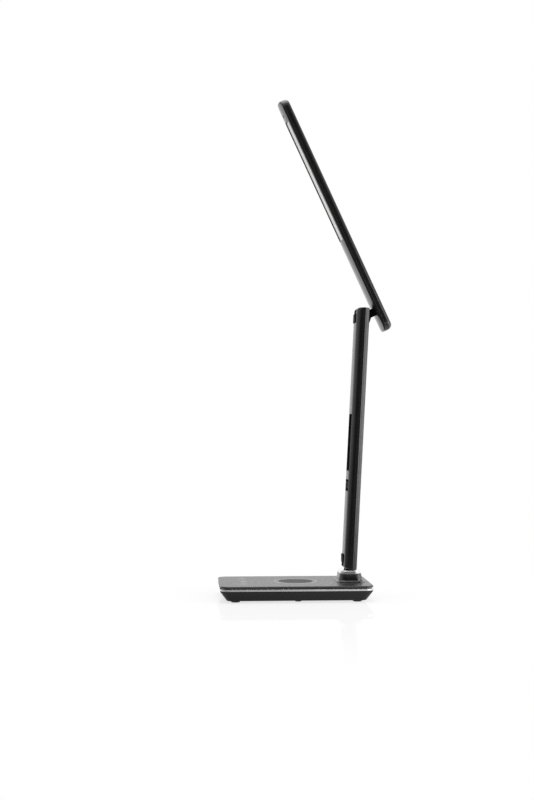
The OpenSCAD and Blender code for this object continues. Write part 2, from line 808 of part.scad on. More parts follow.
// Space inside the head: a wide part behind the panel and a narrower one under the roof
module head_cavity() {
  mid = (head_tip - head_tail + head_tail_r - head_tip_r)/2;
  inner_len = head_len - head_tip_r - head_tail_r;
  inner_t = head_t - head_floor - head_roof;
  translate([head_gap + head_floor, 0, mid]) rotate([0, 90, 0]) {
    round_slab(inner_len, head_w - 2*head_side_wall, head_plan_r - head_side_wall,
               inner_t - head_edge_r + head_side_wall);
    round_slab(inner_len, head_w - 2*head_edge_r, head_plan_r - head_side_wall, inner_t);
  }
}

module head_underside() color([0.16, 0.16, 0.16]) head_frame() difference() {
  intersection() {
    head_form();
    block(0, head_gap + head_split, 2*head_w, -head_len, head_len);
  }
  head_cavity();
  block(0, head_gap + head_t, panel_w, panel_low, panel_high);
  block(0, head_gap + head_t, knuckle_w + 2*snug, -boss_half - snug, boss_half + snug);
  at_knuckle_screws() x_rod(knuckle_screw_r, head_gap + head_floor - knuckle_screw_len, head_gap + head_t);
  translate([0, 0, head_tip - plug_from_tip]) x_rod(plug_r + play, head_gap - cut, head_gap + plug_t);
}

// Length of the stack of light parts and the face it rests on
stack_low = panel_low - panel_over;
stack_high = panel_high + panel_over;
stack_face = head_gap + head_floor;
guide_face = stack_face + diffuser_t;
heat_face = guide_face + guide_t + reflector_t;

module head_top_shell() color([0.08, 0.08, 0.08]) head_frame() {
  difference() {
    intersection() {
      head_form();
      block(head_gap + head_split, head_gap + 2*head_t, 2*head_w, -head_len, head_len);
    }
    difference() {
      head_cavity();
      for (z = [stack_low + rib_pitch/2 : rib_pitch : stack_high])
        block(heat_face + heat_t, head_gap + head_t, head_w, z, z + rib_t);
    }
  }
}

module light_diffuser() color("white") head_frame() {
  block(stack_face, stack_face + diffuser_t, panel_w + 2*panel_over, stack_low, stack_high);
}

module light_guide() color([0.85, 0.95, 1]) head_frame() {
  block(guide_face, guide_face + guide_t, guide_w, panel_low, panel_high);
}

module reflector_sheet() color("whitesmoke") head_frame() {
  block(guide_face + guide_t, heat_face, guide_w, panel_low, panel_high);
}

module led_strips() color("gold") head_frame() for (side = [-1, 1]) {
  strip_y = guide_w/2 + snug + led_t + strip_t/2;
  translate([0, side*strip_y, 0])
    block(guide_face, heat_face, strip_t, panel_low, panel_high);
  for (n = [0 : led_count - 1])
    translate([0, side*(strip_y - strip_t/2 - led_t/2), panel_low + led_pitch*(n + 0.5)])
      block(guide_face + (guide_t - led_h)/2, guide_face + (guide_t + led_h)/2, led_t, 0, led_l);
}

module heat_plate() color("lightsteelblue") head_frame() {
  block(heat_face, heat_face + heat_t, head_w - 2*head_edge_r - 2*snug, stack_low, stack_high);
}

module underside_plug() color([0.05, 0.05, 0.05]) head_frame() {
  translate([0, 0, head_tip - plug_from_tip]) x_rod(plug_r, head_gap + plug_sink, head_gap + plug_t);
}

base_top_cover();
base_lower_shell();
trim_ring();
ballast_plate();
charge_pad();
pad_ring();
charging_coil();
coil_shield();
base_board();
touch_board();
touch_marks();
power_inlet();
corner_feet();
middle_feet();
case_screws();
pedestal();
pedestal_screws();
collar();
lower_knuckle();
stem_front_shell();
stem_rear_shell();
stem_spine();
spine_screws();
stem_ribbon();
display_window();
lcd_panel();
control_board();
key_switches();
clock_battery();
key_plate();
key_left();
key_middle();
key_right();
lower_pin();
upper_pin();
lower_washers();
upper_washers();
pin_caps();
upper_knuckle();
knuckle_screws();
head_underside();
head_top_shell();
light_diffuser();
light_guide();
reflector_sheet();
led_strips();
heat_plate();
underside_plug();
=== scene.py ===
"""Folding LED desk lamp: shells, trims, keys and finishes made around the fixed frame."""

import json
import math

import bmesh
import bpy
from mathutils import Matrix, Vector


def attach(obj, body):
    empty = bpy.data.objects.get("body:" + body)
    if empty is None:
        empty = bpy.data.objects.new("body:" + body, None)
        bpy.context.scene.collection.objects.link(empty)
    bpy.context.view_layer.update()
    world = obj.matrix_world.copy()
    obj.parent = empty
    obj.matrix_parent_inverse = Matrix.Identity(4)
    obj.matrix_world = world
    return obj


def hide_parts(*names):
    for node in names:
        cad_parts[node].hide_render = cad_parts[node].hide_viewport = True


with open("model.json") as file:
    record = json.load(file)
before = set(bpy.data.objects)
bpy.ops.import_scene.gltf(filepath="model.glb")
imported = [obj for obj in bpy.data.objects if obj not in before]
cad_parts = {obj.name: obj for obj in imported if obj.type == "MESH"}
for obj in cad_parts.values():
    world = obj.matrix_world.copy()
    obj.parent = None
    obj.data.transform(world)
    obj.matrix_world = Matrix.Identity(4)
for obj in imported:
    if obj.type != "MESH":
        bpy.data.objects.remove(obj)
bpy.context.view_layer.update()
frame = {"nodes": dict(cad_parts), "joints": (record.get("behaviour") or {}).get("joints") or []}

MM = 0.001

# Camera, as the photograph was taken: slightly above the base and a little to the front of the lamp
CAMERA_PLACE = (-0.1265, -1.515, 0.189)
CAMERA_TURN_DEG = 3.64
CAMERA_LIFT_DEG = 1.24
CAMERA_LENS = 60.64
SENSOR = 36.0

scene = bpy.context.scene


def linked(name, data):
    """New object of the scene."""
    obj = bpy.data.objects.new(name, data)
    scene.collection.objects.link(obj)
    return obj


def add_camera():
    """The camera at the photograph's viewing angle."""
    data = bpy.data.cameras.new("camera")
    data.lens = CAMERA_LENS
    data.sensor_width = SENSOR
    camera = linked("camera", data)
    camera.location = CAMERA_PLACE
    camera.rotation_euler = (math.radians(90 + CAMERA_LIFT_DEG), 0, -math.radians(CAMERA_TURN_DEG))
    bpy.context.scene.camera = camera


add_camera()

# Hinge axes, and how far the stem and the raised head lean
joints = {joint["name"]: joint for joint in frame["joints"]}
lower_hinge = Vector(joints["stem_fold"]["pos_m"])
upper_hinge = Vector(joints["head_tilt"]["pos_m"])
stem_line = upper_hinge - lower_hinge
span = stem_line.length / MM
stem_lean = math.atan2(stem_line.x, stem_line.z)
head_lean = math.pi - stem_lean - math.radians(joints["head_tilt"]["range_deg"][1])


def local_frame(origin, turn):
    """Matrix from millimetres about a hinge axis to metres in the row frame."""
    return Matrix.Translation(origin) @ Matrix.Rotation(turn, 4, "Y") @ Matrix.Scale(MM, 4)


BASE = Matrix.Scale(MM, 4)
STEM = local_frame(lower_hinge, stem_lean)
HEAD = local_frame(upper_hinge, -head_lean)


def extent(node, place=BASE):
    """Lowest and highest corner of a CAD node in a frame, in millimetres."""
    back = place.inverted()
    points = [back @ v.co for v in frame["nodes"][node].data.vertices]
    return Vector(map(min, zip(*points))), Vector(map(max, zip(*points)))


# Outlines and solids, all in millimetres. CUT is how far a cutter runs past what it cuts.
X, Y, Z = range(3)
CUT = 1.0
MERGE_DIST = 1e-4
SHARP_DEG = 32


def arc(centre, radius, start, end, steps):
    """Points on an arc between two angles in degrees."""
    points = []
    for k in range(steps + 1):
        a = math.radians(start + (end - start) * k / steps)
        points.append((centre[0] + radius * math.cos(a), centre[1] + radius * math.sin(a)))
    return points


def circle(centre, radius, steps=48):
    """Outline of a circle."""
    return arc(centre, radius, 0, 360, steps)[:-1]


def rounded(corners, steps=6):
    """Closed outline whose corners, each (x, y, radius), are rounded off."""
    points = []
    for k, (x, y, radius) in enumerate(corners):
        here = Vector((x, y))
        before = (Vector(corners[k - 1][:2]) - here).normalized()
        after = (Vector(corners[(k + 1) % len(corners)][:2]) - here).normalized()
        half = before.angle(after) / 2
        centre = here + (before + after).normalized() * radius / math.sin(half)
        reach = radius / math.tan(half)
        first = here + before * reach - centre
        last = here + after * reach - centre
        start = math.atan2(first.y, first.x)
        sweep = math.atan2(last.y, last.x) - start
        sweep = (sweep + math.pi) % math.tau - math.pi
        points += arc(centre, radius, math.degrees(start), math.degrees(start + sweep), steps)
    return points


def rectangle(x0, x1, y0, y1, radius, steps=8):
    """Outline of a rectangle with round corners."""
    return rounded([(x0, y0, radius), (x1, y0, radius), (x1, y1, radius), (x0, y1, radius)], steps)


def plan(length, width, radius, x=0.0):
    """Outline of a rectangle with round corners about a place on the X axis."""
    return rectangle(x - length / 2, x + length / 2, -width / 2, width / 2, radius)


def loft(rings, looped=False):
    """Solid through rings of points, with a cap at each end or with the last ring joined to the first."""
    bm = bmesh.new()
    rows = [[bm.verts.new(point) for point in ring] for ring in rings]
    following = rows[1:] + rows[:1] if looped else rows[1:]
    for low, high in zip(rows, following):
        for k in range(len(low)):
            n = (k + 1) % len(low)
            bm.faces.new((low[k], low[n], high[n], high[k]))
    if not looped:
        bm.faces.new(rows[0][::-1])
        bm.faces.new(rows[-1])
    bmesh.ops.remove_doubles(bm, verts=bm.verts, dist=MERGE_DIST)
    bmesh.ops.recalc_face_normals(bm, faces=bm.faces)
    return bm


def through(axis, sections, looped=False):
    """Solid through outlines square to an axis, each given as (place on the axis, outline)."""
    rings = []
    for place, outline in sections:
        rings.append([(*point[:axis], place, *point[axis:]) for point in outline])
    return loft(rings, looped)


def prism(axis, outline, low, high):
    """Solid of one outline between two places on an axis."""
    return through(axis, [(low, outline), (high, outline)])


def rod(axis, centre, radius, low, high, steps=48):
    """Cylinder between two places on an axis."""
    return prism(axis, circle(centre, radius, steps), low, high)


def box(low, high):
    """Box between two corners."""
    (x0, y0, z0), (x1, y1, z1) = low, high
    return prism(Z, [(x0, y0), (x1, y0), (x1, y1), (x0, y1)], z0, z1)


def turned(profile, centre, steps=48, looped=False):
    """Solid of revolution about a vertical line through centre, from a profile of (radius, z) points."""
    return through(Z, [(z, circle(centre, radius, steps)) for radius, z in profile], looped)


def tube(centre, inner, outer, low, high, steps=48):
    """Ring with a square section."""
    return turned([(inner, low), (outer, low), (outer, high), (inner, high)], centre, steps, looped=True)


def shrink(outline, inset):
    """Outline moved inwards by inset along its own normals; the outline runs counterclockwise."""
    moved = []
    for k, point in enumerate(outline):
        here = Vector(point)
        before = (here - Vector(outline[k - 1])).normalized()
        after = (Vector(outline[(k + 1) % len(outline)]) - here).normalized()
        inward = Vector((-before.y - after.y, before.x + after.x)).normalized()
        moved.append(tuple(here + inward * inset))
    return moved


def round_off(distance, radius):
    """How far a rounded end draws in at a distance from the end."""
    left = max(radius - distance, 0.0)
    return radius - math.sqrt(radius**2 - left**2)


def opening(outline_at, face, depth, flare):
    """Cutter along X for a hole in a face, whose rim is rounded by flare.

    outline_at(grow) gives the hole's outline, grown by grow.
    """
    steps = [(face - CUT, flare), *arc((face + flare, flare), flare, 180, 270, 4), (face + depth, 0)]
    return through(X, [(x, outline_at(grow)) for x, grow in steps])


def front_panel(low, high, radius, rim):
    """Panel that faces the front, with a rim softened in steps of (depth, inset)."""
    (x0, y0, z0), (x1, y1, z1) = low, high
    sections = []
    for depth, inset in (*rim, (x1 - x0, 0)):
        outline = rectangle(y0 + inset, y1 - inset, z0 + inset, z1 - inset, radius - inset, 5)
        sections.append((x0 + depth, outline))
    return through(X, sections)


def to_object(name, bm):
    """Linked object of a bmesh, which is freed."""
    mesh = bpy.data.meshes.new(name)
    bm.to_mesh(mesh)
    bm.free()
    return linked(name, mesh)


def combine(obj, operation, tools):
    """Adds or takes away solids from an object, one after the other."""
    for bm in tools:
        tool = to_object("tool", bm)
        step = obj.modifiers.new("combine", "BOOLEAN")
        step.operation = operation
        step.solver = "EXACT"
        step.object = tool
        bpy.context.view_layer.update()
        graph = bpy.context.evaluated_depsgraph_get()
        mesh = bpy.data.meshes.new_from_object(obj.evaluated_get(graph))
        obj.modifiers.clear()
        obj.data = mesh
        bpy.data.objects.remove(tool)


def shade(obj):
    """Smooth shading that stops at sharp edges, with flat faces kept flat."""
    bm = bmesh.new()
    bm.from_mesh(obj.data)
    bmesh.ops.dissolve_degenerate(bm, edges=bm.edges, dist=MERGE_DIST * MM)
    for face in bm.faces:
        face.smooth = True
    for edge in bm.edges:
        edge.smooth = len(edge.link_faces) == 2 and edge.calc_face_angle(math.pi) < math.radians(SHARP_DEG)
    bm.to_mesh(obj.data)
    bm.free()
    weights = obj.modifiers.new("weighted", "WEIGHTED_NORMAL")
    weights.keep_sharp = True


def piece(name, node, bm, place, body, finish, cuts=(), adds=()):
    """A finished piece for a CAD node: cut and joined in millimetres, put in place and tied to its body."""
    obj = to_object(name, bm)
    combine(obj, "DIFFERENCE", cuts)
    combine(obj, "UNION", adds)
    obj.data.transform(place)
    obj.data.update()
    shade(obj)
    obj.data.materials.clear()
    obj.data.materials.append(finishes[finish])
    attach(obj, body)
    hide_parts(node)


# Materials: sizes of their patterns in millimetres, what counts as a worn edge, and how far gloss varies
MOTTLE_SIZE = 14.0
GLOSS_SIZE = 3.5
WEAR_SIZE = 5.0
WEAR_EDGE = 0.5
BOARD_CELL = 2.4
WIRE_PITCH = 2.8
EDGE_LIKENESS = (0.86, 0.995)
GLOSS_SHARE = 0.14


class Nodes:
    """Small helper that adds and links the nodes of one material or of the world."""

    def __init__(self, owner):
        owner.use_nodes = True
        self.owner = owner
        self.tree = owner.node_tree
        self.shader = self.tree.nodes.get("Principled BSDF")
        self.coords = self.add("ShaderNodeTexCoord").outputs

    def add(self, kind, **values):
        """A node with settings by attribute name, or by socket name where the attribute doesn't exist."""
        node = self.tree.nodes.new(kind)
        for key, value in values.items():
            if hasattr(node, key):
                setattr(node, key, value)
            else:
                node.inputs[key.replace("_", " ").title()].default_value = value
        return node

    def put(self, value, socket):
        """Links an output to a socket, or sets the socket to a number, a vector or a colour."""
        if isinstance(value, bpy.types.NodeSocket):
            self.tree.links.new(value, socket)
        elif isinstance(value, tuple):
            socket.default_value = (*value, 1.0)[:len(socket.default_value)]
        else:
            socket.default_value = value

    def joined(self, node, *values):
        """First output of a node whose first inputs are given."""
        for value, socket in zip(values, node.inputs):
            self.put(value, socket)
        return node.outputs[0]

    def math(self, operation, first, second):
        """Result of an operation on two numbers."""
        return self.joined(self.add("ShaderNodeMath", operation=operation), first, second)

    def vector_math(self, operation, *vectors):
        """Number that an operation makes of vectors."""
        node = self.add("ShaderNodeVectorMath", operation=operation)
        self.joined(node, *vectors)
        return node.outputs["Value"]

    def axis(self, vector, name):
        """One coordinate of a vector."""
        node = self.add("ShaderNodeSeparateXYZ")
        self.put(vector, node.inputs[0])
        return node.outputs[name]

    def noise(self, size, detail=3.0, stretch=None):
        """Noise with features of a size in millimetres, stretched along the axes if asked."""
        node = self.add("ShaderNodeTexNoise", detail=detail, scale=1 / (size * MM))
        source = self.coords["Object"]
        if stretch:
            source = self.joined(self.add("ShaderNodeMapping", Scale=stretch), source)
        self.put(source, node.inputs["Vector"])
        return node.outputs["Fac"]

    def span(self, value, low, high, start=0.35, stop=0.65, shape="LINEAR"):
        """Value spread from low at start to high at stop."""
        node = self.add("ShaderNodeMapRange", interpolation_type=shape, From_Min=start, From_Max=stop,
                        To_Min=low, To_Max=high)
        return self.joined(node, value)

    def blend(self, factor, first, second, kind="RGBA"):
        """Mix of two colours, or of two numbers with kind FLOAT."""
        node = self.add("ShaderNodeMix", data_type=kind)
        sockets, result = ((6, 7), 2) if kind == "RGBA" else ((2, 3), 0)
        self.put(factor, node.inputs[0])
        self.put(first, node.inputs[sockets[0]])
        self.put(second, node.inputs[sockets[1]])
        return node.outputs[result]

    def edges(self, radius):
        """How near a point is to an outer or inner edge, from the normals that a bevel would give."""
        bevel = self.add("ShaderNodeBevel", samples=4, radius=radius * MM)
        geometry = self.add("ShaderNodeNewGeometry")
        likeness = self.vector_math("DOT_PRODUCT", bevel.outputs["Normal"], geometry.outputs["Normal"])
        return self.span(likeness, 1.0, 0.0, *EDGE_LIKENESS)

    def bump(self, height, depth):
        """Relief of a depth in millimetres."""
        node = self.add("ShaderNodeBump", strength=1.0, distance=depth * MM)
        self.put(height, node.inputs["Height"])
        self.put(node.outputs["Normal"], self.shader.inputs["Normal"])

    def finish(self, colour, roughness, height, depth, **sockets):
        """Material with a colour, a roughness and a relief, and other sockets by name."""
        self.put(colour, self.shader.inputs["Base Color"])
        self.put(roughness, self.shader.inputs["Roughness"])
        self.bump(height, depth)
        for socket, value in sockets.items():
            self.shader.inputs[socket.replace("_", " ")].default_value = value
        return self.owner


def material_nodes(name):
    """Nodes of a new material."""
    return Nodes(bpy.data.materials.new(name))


def grey(level, warmth=0.0):
    """Neutral colour of a level, a little warmer or cooler if asked."""
    return (level * (1 + warmth), level, level * (1 - warmth))


def scaled(colour, factor):
    """Colour made lighter or darker."""
    return tuple(min(1.0, channel * factor) for channel in colour)


def surface(name, colour, roughness, metallic=0.0, grain=0.3, depth=0.004, mottle=0.12, wear=0.0,
            specular=0.5, stretch=None):
    """Moulded, coated or rolled surface: mottled colour, uneven gloss, grain and worn edges."""
    nodes = material_nodes(name)
    patches = nodes.span(nodes.noise(MOTTLE_SIZE, 4.0, stretch), 0.0, 1.0)
    tint = nodes.blend(patches, scaled(colour, 1 - mottle), scaled(colour, 1 + mottle))
    if wear:
        rubbed = nodes.span(nodes.noise(WEAR_SIZE), 0.2, 1.0)
        worn = nodes.math("MULTIPLY", nodes.edges(WEAR_EDGE), rubbed)
        tint = nodes.blend(worn, tint, scaled(colour, 1 + wear))
    gloss = nodes.span(nodes.noise(GLOSS_SIZE, 5.0, stretch),
                       roughness * (1 - GLOSS_SHARE), roughness * (1 + GLOSS_SHARE))
    return nodes.finish(tint, gloss, nodes.noise(grain, 2.0, stretch), depth, Metallic=metallic,
                        Specular_IOR_Level=specular)


def circuit_board():
    """Green solder mask with paler copper runs under it."""
    nodes = material_nodes("solder_mask")
    cells = nodes.add("ShaderNodeTexVoronoi", distance="CHEBYCHEV", feature="F1", scale=1 / (BOARD_CELL * MM))
    nodes.put(nodes.coords["Object"], cells.inputs["Vector"])
    runs = nodes.span(cells.outputs["Distance"], 0.0, 1.0, 0.42, 0.48)
    colour = nodes.blend(runs, (0.012, 0.09, 0.035), (0.03, 0.2, 0.075))
    return nodes.finish(colour, nodes.span(nodes.noise(1.2), 0.25, 0.42), runs, 0.03)


def wound_copper(centre):
    """Flat coil of enamelled copper wire, wound about a vertical line through centre, with painted shade
    between its turns.
    """
    nodes = material_nodes("wound_copper")
    mapping = nodes.add("ShaderNodeMapping", Location=(-centre[0] * MM, -centre[1] * MM, 0))
    turns = nodes.add("ShaderNodeTexWave", wave_type="RINGS", rings_direction="Z", wave_profile="SIN",
                      scale=1 / (WIRE_PITCH * MM))
    nodes.put(nodes.joined(mapping, nodes.coords["Object"]), turns.inputs["Vector"])
    wire = turns.outputs["Fac"]
    # Colour darker between the turns is painted shade in the grooves, on top of the real relief of the bump
    colour = nodes.blend(wire, (0.2, 0.06, 0.02), (0.72, 0.36, 0.17))
    return nodes.finish(colour, nodes.span(nodes.noise(2.0), 0.22, 0.34), wire, 0.25, Metallic=1.0)


def opal(name, colour, translucency):
    """Milky acrylic that carries light, with a fine satin grain."""
    nodes = material_nodes(name)
    tint = nodes.blend(nodes.noise(20.0), scaled(colour, 0.97), colour)
    return nodes.finish(tint, nodes.span(nodes.noise(2.5), 0.34, 0.44), nodes.noise(0.2, 2.0), 0.004,
                        Transmission_Weight=translucency, IOR=1.49)


def smoked_glass():
    """Dark tinted window, glossy, with a trace of dust in its gloss."""
    nodes = material_nodes("smoked_window")
    tint = nodes.blend(nodes.noise(9.0), grey(0.012), grey(0.02))
    dust = nodes.span(nodes.noise(2.0, 6.0), 0.03, 0.09, 0.4, 0.75)
    return nodes.finish(tint, dust, nodes.noise(16.0, 1.0), 0.002, IOR=1.5)


BLACK = grey(0.005)
finishes = {
    "satin": surface("satin_black", BLACK, 0.24, depth=0.01, wear=2.0),
    "pedestal": surface("pedestal_black", BLACK, 0.25, depth=0.01, wear=1.5, specular=0.9),
    "side": surface("rear_shell_black", grey(0.006), 0.3, depth=0.01, wear=1.5),
    "cover": surface("soft_touch_cover", grey(0.026), 0.3, grain=0.22, depth=0.008, wear=1.2, specular=0.58),
    "shell": surface("moulded_shell", BLACK, 0.42, grain=0.35, depth=0.016, wear=1.2, specular=0.28),
    "head_low": surface("head_underside", grey(0.012), 0.18, depth=0.006, wear=1.5),
    "gloss": surface("gloss_black", grey(0.004), 0.16, grain=0.6, depth=0.002, wear=0.8),
    "cam": surface("cam_black", grey(0.003), 0.6, grain=0.4, depth=0.012, wear=1.0, specular=0.03),
    "key": surface("key_plastic", grey(0.009), 0.6, grain=0.2, depth=0.006, wear=1.0, specular=0.05),
    "chrome": surface("bright_chrome", grey(0.85), 0.09, 1.0, grain=1.4, depth=0.0015, mottle=0.03),
    "rubber": surface("foot_rubber", grey(0.02), 0.75, grain=0.4, depth=0.03, mottle=0.2, wear=1.5),
    "pad": surface("pad_silicone", grey(0.016), 0.58, grain=0.16, depth=0.01, mottle=0.1, wear=1.0),
    "mark": surface("printed_mark", grey(0.55), 0.45, grain=0.2),
    "steel": surface("zinc_plate", grey(0.5, 0.02), 0.33, 1.0, grain=0.5, depth=0.006, mottle=0.1),
    "screw": surface("screw_zinc", grey(0.45), 0.28, 1.0, mottle=0.15),
    "ferrite": surface("ferrite_sheet", grey(0.05, -0.04), 0.55, grain=0.5, depth=0.01, mottle=0.3),
    "ribbon": surface("ribbon_cable", (0.7, 0.66, 0.55), 0.4, grain=0.9, depth=0.06, stretch=(1, 1, 0.02)),
    "washer": surface("acetal_washer", (0.6, 0.55, 0.42), 0.38),
    "cell": surface("cell_steel", grey(0.62), 0.22, 1.0, grain=0.5, depth=0.003, mottle=0.06),
    "lcd": surface("display_glass", (0.09, 0.1, 0.09), 0.18, depth=0.001, mottle=0.05),
    "switch": surface("switch_steel", grey(0.55), 0.3, 1.0),
    "sheet": surface("reflector_foil", grey(0.86), 0.5, mottle=0.03),
    "heat": surface("rolled_aluminium", grey(0.72, -0.01), 0.3, 1.0, grain=0.4, stretch=(1, 1, 0.05)),
    "led": surface("led_strip", (0.8, 0.62, 0.2), 0.4, grain=0.5, depth=0.01, mottle=0.2),
    "board": circuit_board(),
    "diffuser": opal("opal_diffuser", (0.88, 0.88, 0.86), 0.15),
    "guide": opal("light_guide", (0.9, 0.94, 0.95), 0.7),
    "window": smoked_glass(),
}

# Base: walls, slanted sides and seams, and how much lower the shell's floor is than the solid's
SHELL_DROP = 0.8
CORNER_R = 10.0
CORNER_LEAST = 0.4
WALL = 2.0
SLOPE_IN = 7.5
SLOPE_CORNER_SHARE = 2 / 3
BAND_H = 1.5
BAND_IN = 0.2
BAND_BEND = 0.25
FLOOR_T = 2.6
SHELL_EDGE_R = 1.2
LIP_T = 1.4
LIP_H = 2.2
COVER_EDGE_R = 0.9
POST_R = 3.2
SEAM = 0.15
SNUG = 0.1
# Base: bright ring, with its lap over the shell
TRIM_PROUD = 0.4
TRIM_EDGE = 0.2
TRIM_GAP = 1.2
TRIM_LAP = 0.4
TRIM_CLEAR = 0.05
# Base: marks, the ring round the pad, and the pad
TOUCH_LINE = 0.6
TOUCH_DOT_SHARE = 0.45
TOUCH_SINK = 0.4
RING_R = 23.5
RING_BAND = 0.7
RING_SINK = 0.5
PAD_POCKET = 0.9
PAD_POCKET_R = 19.1
PAD_EDGE = 0.3
PAD_RIM = 0.2
PAD_GROOVE_SHARES = (0.9, 0.55)
PAD_GROOVE_HALF = 0.25
PAD_GROOVE_FLOOR = 0.1
PAD_GROOVE_DEPTH = 0.12
PAD_MIDDLE_R = 0.5
# Base: feet and screws
FOOT_R = 5.0
MIDDLE_FOOT_R = 3.5
FOOT_SINK = 1.6
TREAD_EDGE = 0.7
TREAD_DISH = 0.25
TREAD_DISH_SHARES = ((0.45, 1), (0.5, 1), (0.55, 0))
SCREW_HEAD_R = 2.6
SCREW_POCKET = 1.9
# Base: pedestal and collar, with the slot for the tenon of the lower cam
FLANGE_H = 0.7
FLANGE_IN = 0.4
FLANGE_EDGE = 0.45
FILLET = 1.9
NECK_L = 24.2
NECK_W = 35.4
NECK_EDGE = 0.3
FOOT_L = 32.4
FOOT_SHIFT = 0.3
PEDESTAL_R = 7.5
PEDESTAL_FOOT_R = 8.0
COLLAR_L = 23.0
COLLAR_BACK = 0.4
COLLAR_DROP = 1.3
COLLAR_TOP_DROP = 2.5
COLLAR_CHAMFER = 0.2
COLLAR_EDGE_R = 0.8
TENON_L = 9.2
TENON_W = 13.2
TENON_DEPTH = 11.0
MORTISE_DEPTH = 15.6
# Base: lower cam, whose width, flats and chamfers the upper cam shares
KNUCKLE_R = 9.1
KNUCKLE_FLAT = 8.3
KNUCKLE_HALF = 8.5
KNUCKLE_STEP = 5.0
CAM_EDGE = 0.4
PIN_R = 2.55
NECK_FRONT = 5.0
NECK_BACK = 4.4
NECK_SEAT = 0.02
# Base: power inlet, whose ends are just short of half circles
INLET_FLARE = 1.0
INLET_WALL = 0.45
INLET_EDGE = 0.15
INLET_LIP_OUT = 0.12
INLET_LIP_IN = 0.1
INLET_END_LESS = 0.01
TONGUE_HALF_W = 3.3
TONGUE_HALF_T = 0.35
TONGUE_BACK = 0.5
CONTACT_PITCH = 0.75
CONTACTS_A_SIDE = 3
CONTACT_HALF_W = 0.15
CONTACT_PROUD = 0.07
CONTACT_FRONT = 0.8
CONTACT_REAR = 4.0

cover_low, cover_high = extent("base_top_cover")
trim_low, trim_high = extent("trim_ring")
pad_low, pad_high = extent("charge_pad")
pedestal_low, pedestal_high = extent("pedestal")
collar_low, collar_high = extent("collar")
inlet_low, inlet_high = extent("power_inlet")
base_l = cover_high.x - cover_low.x
base_w = cover_high.y - cover_low.y
z_rim = trim_low.z
z_cover = trim_high.z
z_top = cover_high.z
z_shell = extent("base_lower_shell")[0].z - SHELL_DROP
pad_x = (pad_low.x + pad_high.x) / 2
pedestal_x = (pedestal_low.x + pedestal_high.x) / 2


def far_place(node, radius):
    """Place of the round solid of a node that lies furthest along X and Y."""
    high = extent(node)[1]
    return high.x - radius, high.y - radius


def twins(x, y):
    """Four places, mirrored about the middle of the base."""
    return [(sx * x, sy * y) for sx in (-1, 1) for sy in (-1, 1)]


post_places = twins(*far_place("case_screws", SCREW_HEAD_R))
corner_places = twins(*far_place("corner_feet", FOOT_R))
middle_x, middle_y = far_place("middle_feet", MIDDLE_FOOT_R)
middle_places = [(middle_x, -middle_y), (middle_x, middle_y)]


def base_solid(section, looped=False):
    """Solid on the base's plan, from a section of (inset, z), or (inset, z, share of it in the corners)."""
    rings = []
    for inset, z, *share in section:
        corner = max(CORNER_R - inset * (share[0] if share else 1), CORNER_LEAST)
        rings.append([(x, y, z) for x, y in plan(base_l - 2 * inset, base_w - 2 * inset, corner)])
    return loft(rings, looped)


def mark_cutters():
    """Grooves in the cover for the ring and dot of each touch mark."""
    low, high = extent("touch_marks")
    radius = (high.x - low.x) / 2
    x = (low.x + high.x) / 2
    pitch = (high.y - low.y) / 2 - radius
    heights = (z_top - TOUCH_SINK, z_top + CUT)
    cutters = []
    for y in (-pitch, 0, pitch):
        cutters.append(tube((x, y), radius - TOUCH_LINE, radius, *heights))
        cutters.append(rod(Z, (x, y), radius * TOUCH_DOT_SHARE, *heights, 32))
    return cutters


def top_cover():
    """Flat cover of the base with a rounded rim, the pad's pocket and the grooves of its marks."""
    section = [
        (WALL + LIP_T, z_cover),
        (WALL + LIP_T, z_cover - LIP_H),
        (WALL + SNUG, z_cover - LIP_H),
        (WALL + SNUG, z_cover),
        (SEAM, z_cover),
        (0, z_cover + SEAM),
        *arc((COVER_EDGE_R, z_top - COVER_EDGE_R), COVER_EDGE_R, 180, 90, 6),
        (2 * COVER_EDGE_R, z_top),
    ]
    centre = (pad_x, 0)
    room = turned([
        (PAD_POCKET_R, z_top - PAD_POCKET),
        (PAD_POCKET_R, z_top - PAD_EDGE),
        (PAD_POCKET_R + PAD_EDGE, z_top),
        (PAD_POCKET_R + PAD_EDGE, z_top + CUT),
    ], centre, 96)
    groove = tube(centre, RING_R - RING_BAND / 2, RING_R + RING_BAND / 2, z_top - RING_SINK, z_top + CUT, 128)
    posts = [rod(Z, place, POST_R, z_shell + FLOOR_T + SNUG, z_cover + SNUG, 24) for place in post_places]
    piece("top_cover", "base_top_cover", base_solid(section), BASE, "base", "cover",
          [room, groove, *mark_cutters()], posts)


def pocket(place, *steps):
    """Cutter that goes up into the underside of the base in steps of (radius, depth)."""
    profile = []
    start = -CUT
    for radius, depth in steps:
        profile += [(radius + SNUG, z_shell + start), (radius + SNUG, z_shell + depth)]
        start = depth
    return turned(profile, place)


def inlet_solid(section):
    """Solid along X on the inlet's outline, from a section of (x, how far it is grown)."""
    end_r = (inlet_high.z - inlet_low.z) / 2 - INLET_END_LESS
    sections = []
    for x, grow in section:
        outline = rectangle(inlet_low.y - grow, inlet_high.y + grow, inlet_low.z - grow, inlet_high.z + grow,
                            end_r + grow, 6)
        sections.append((x, outline))
    return through(X, sections)


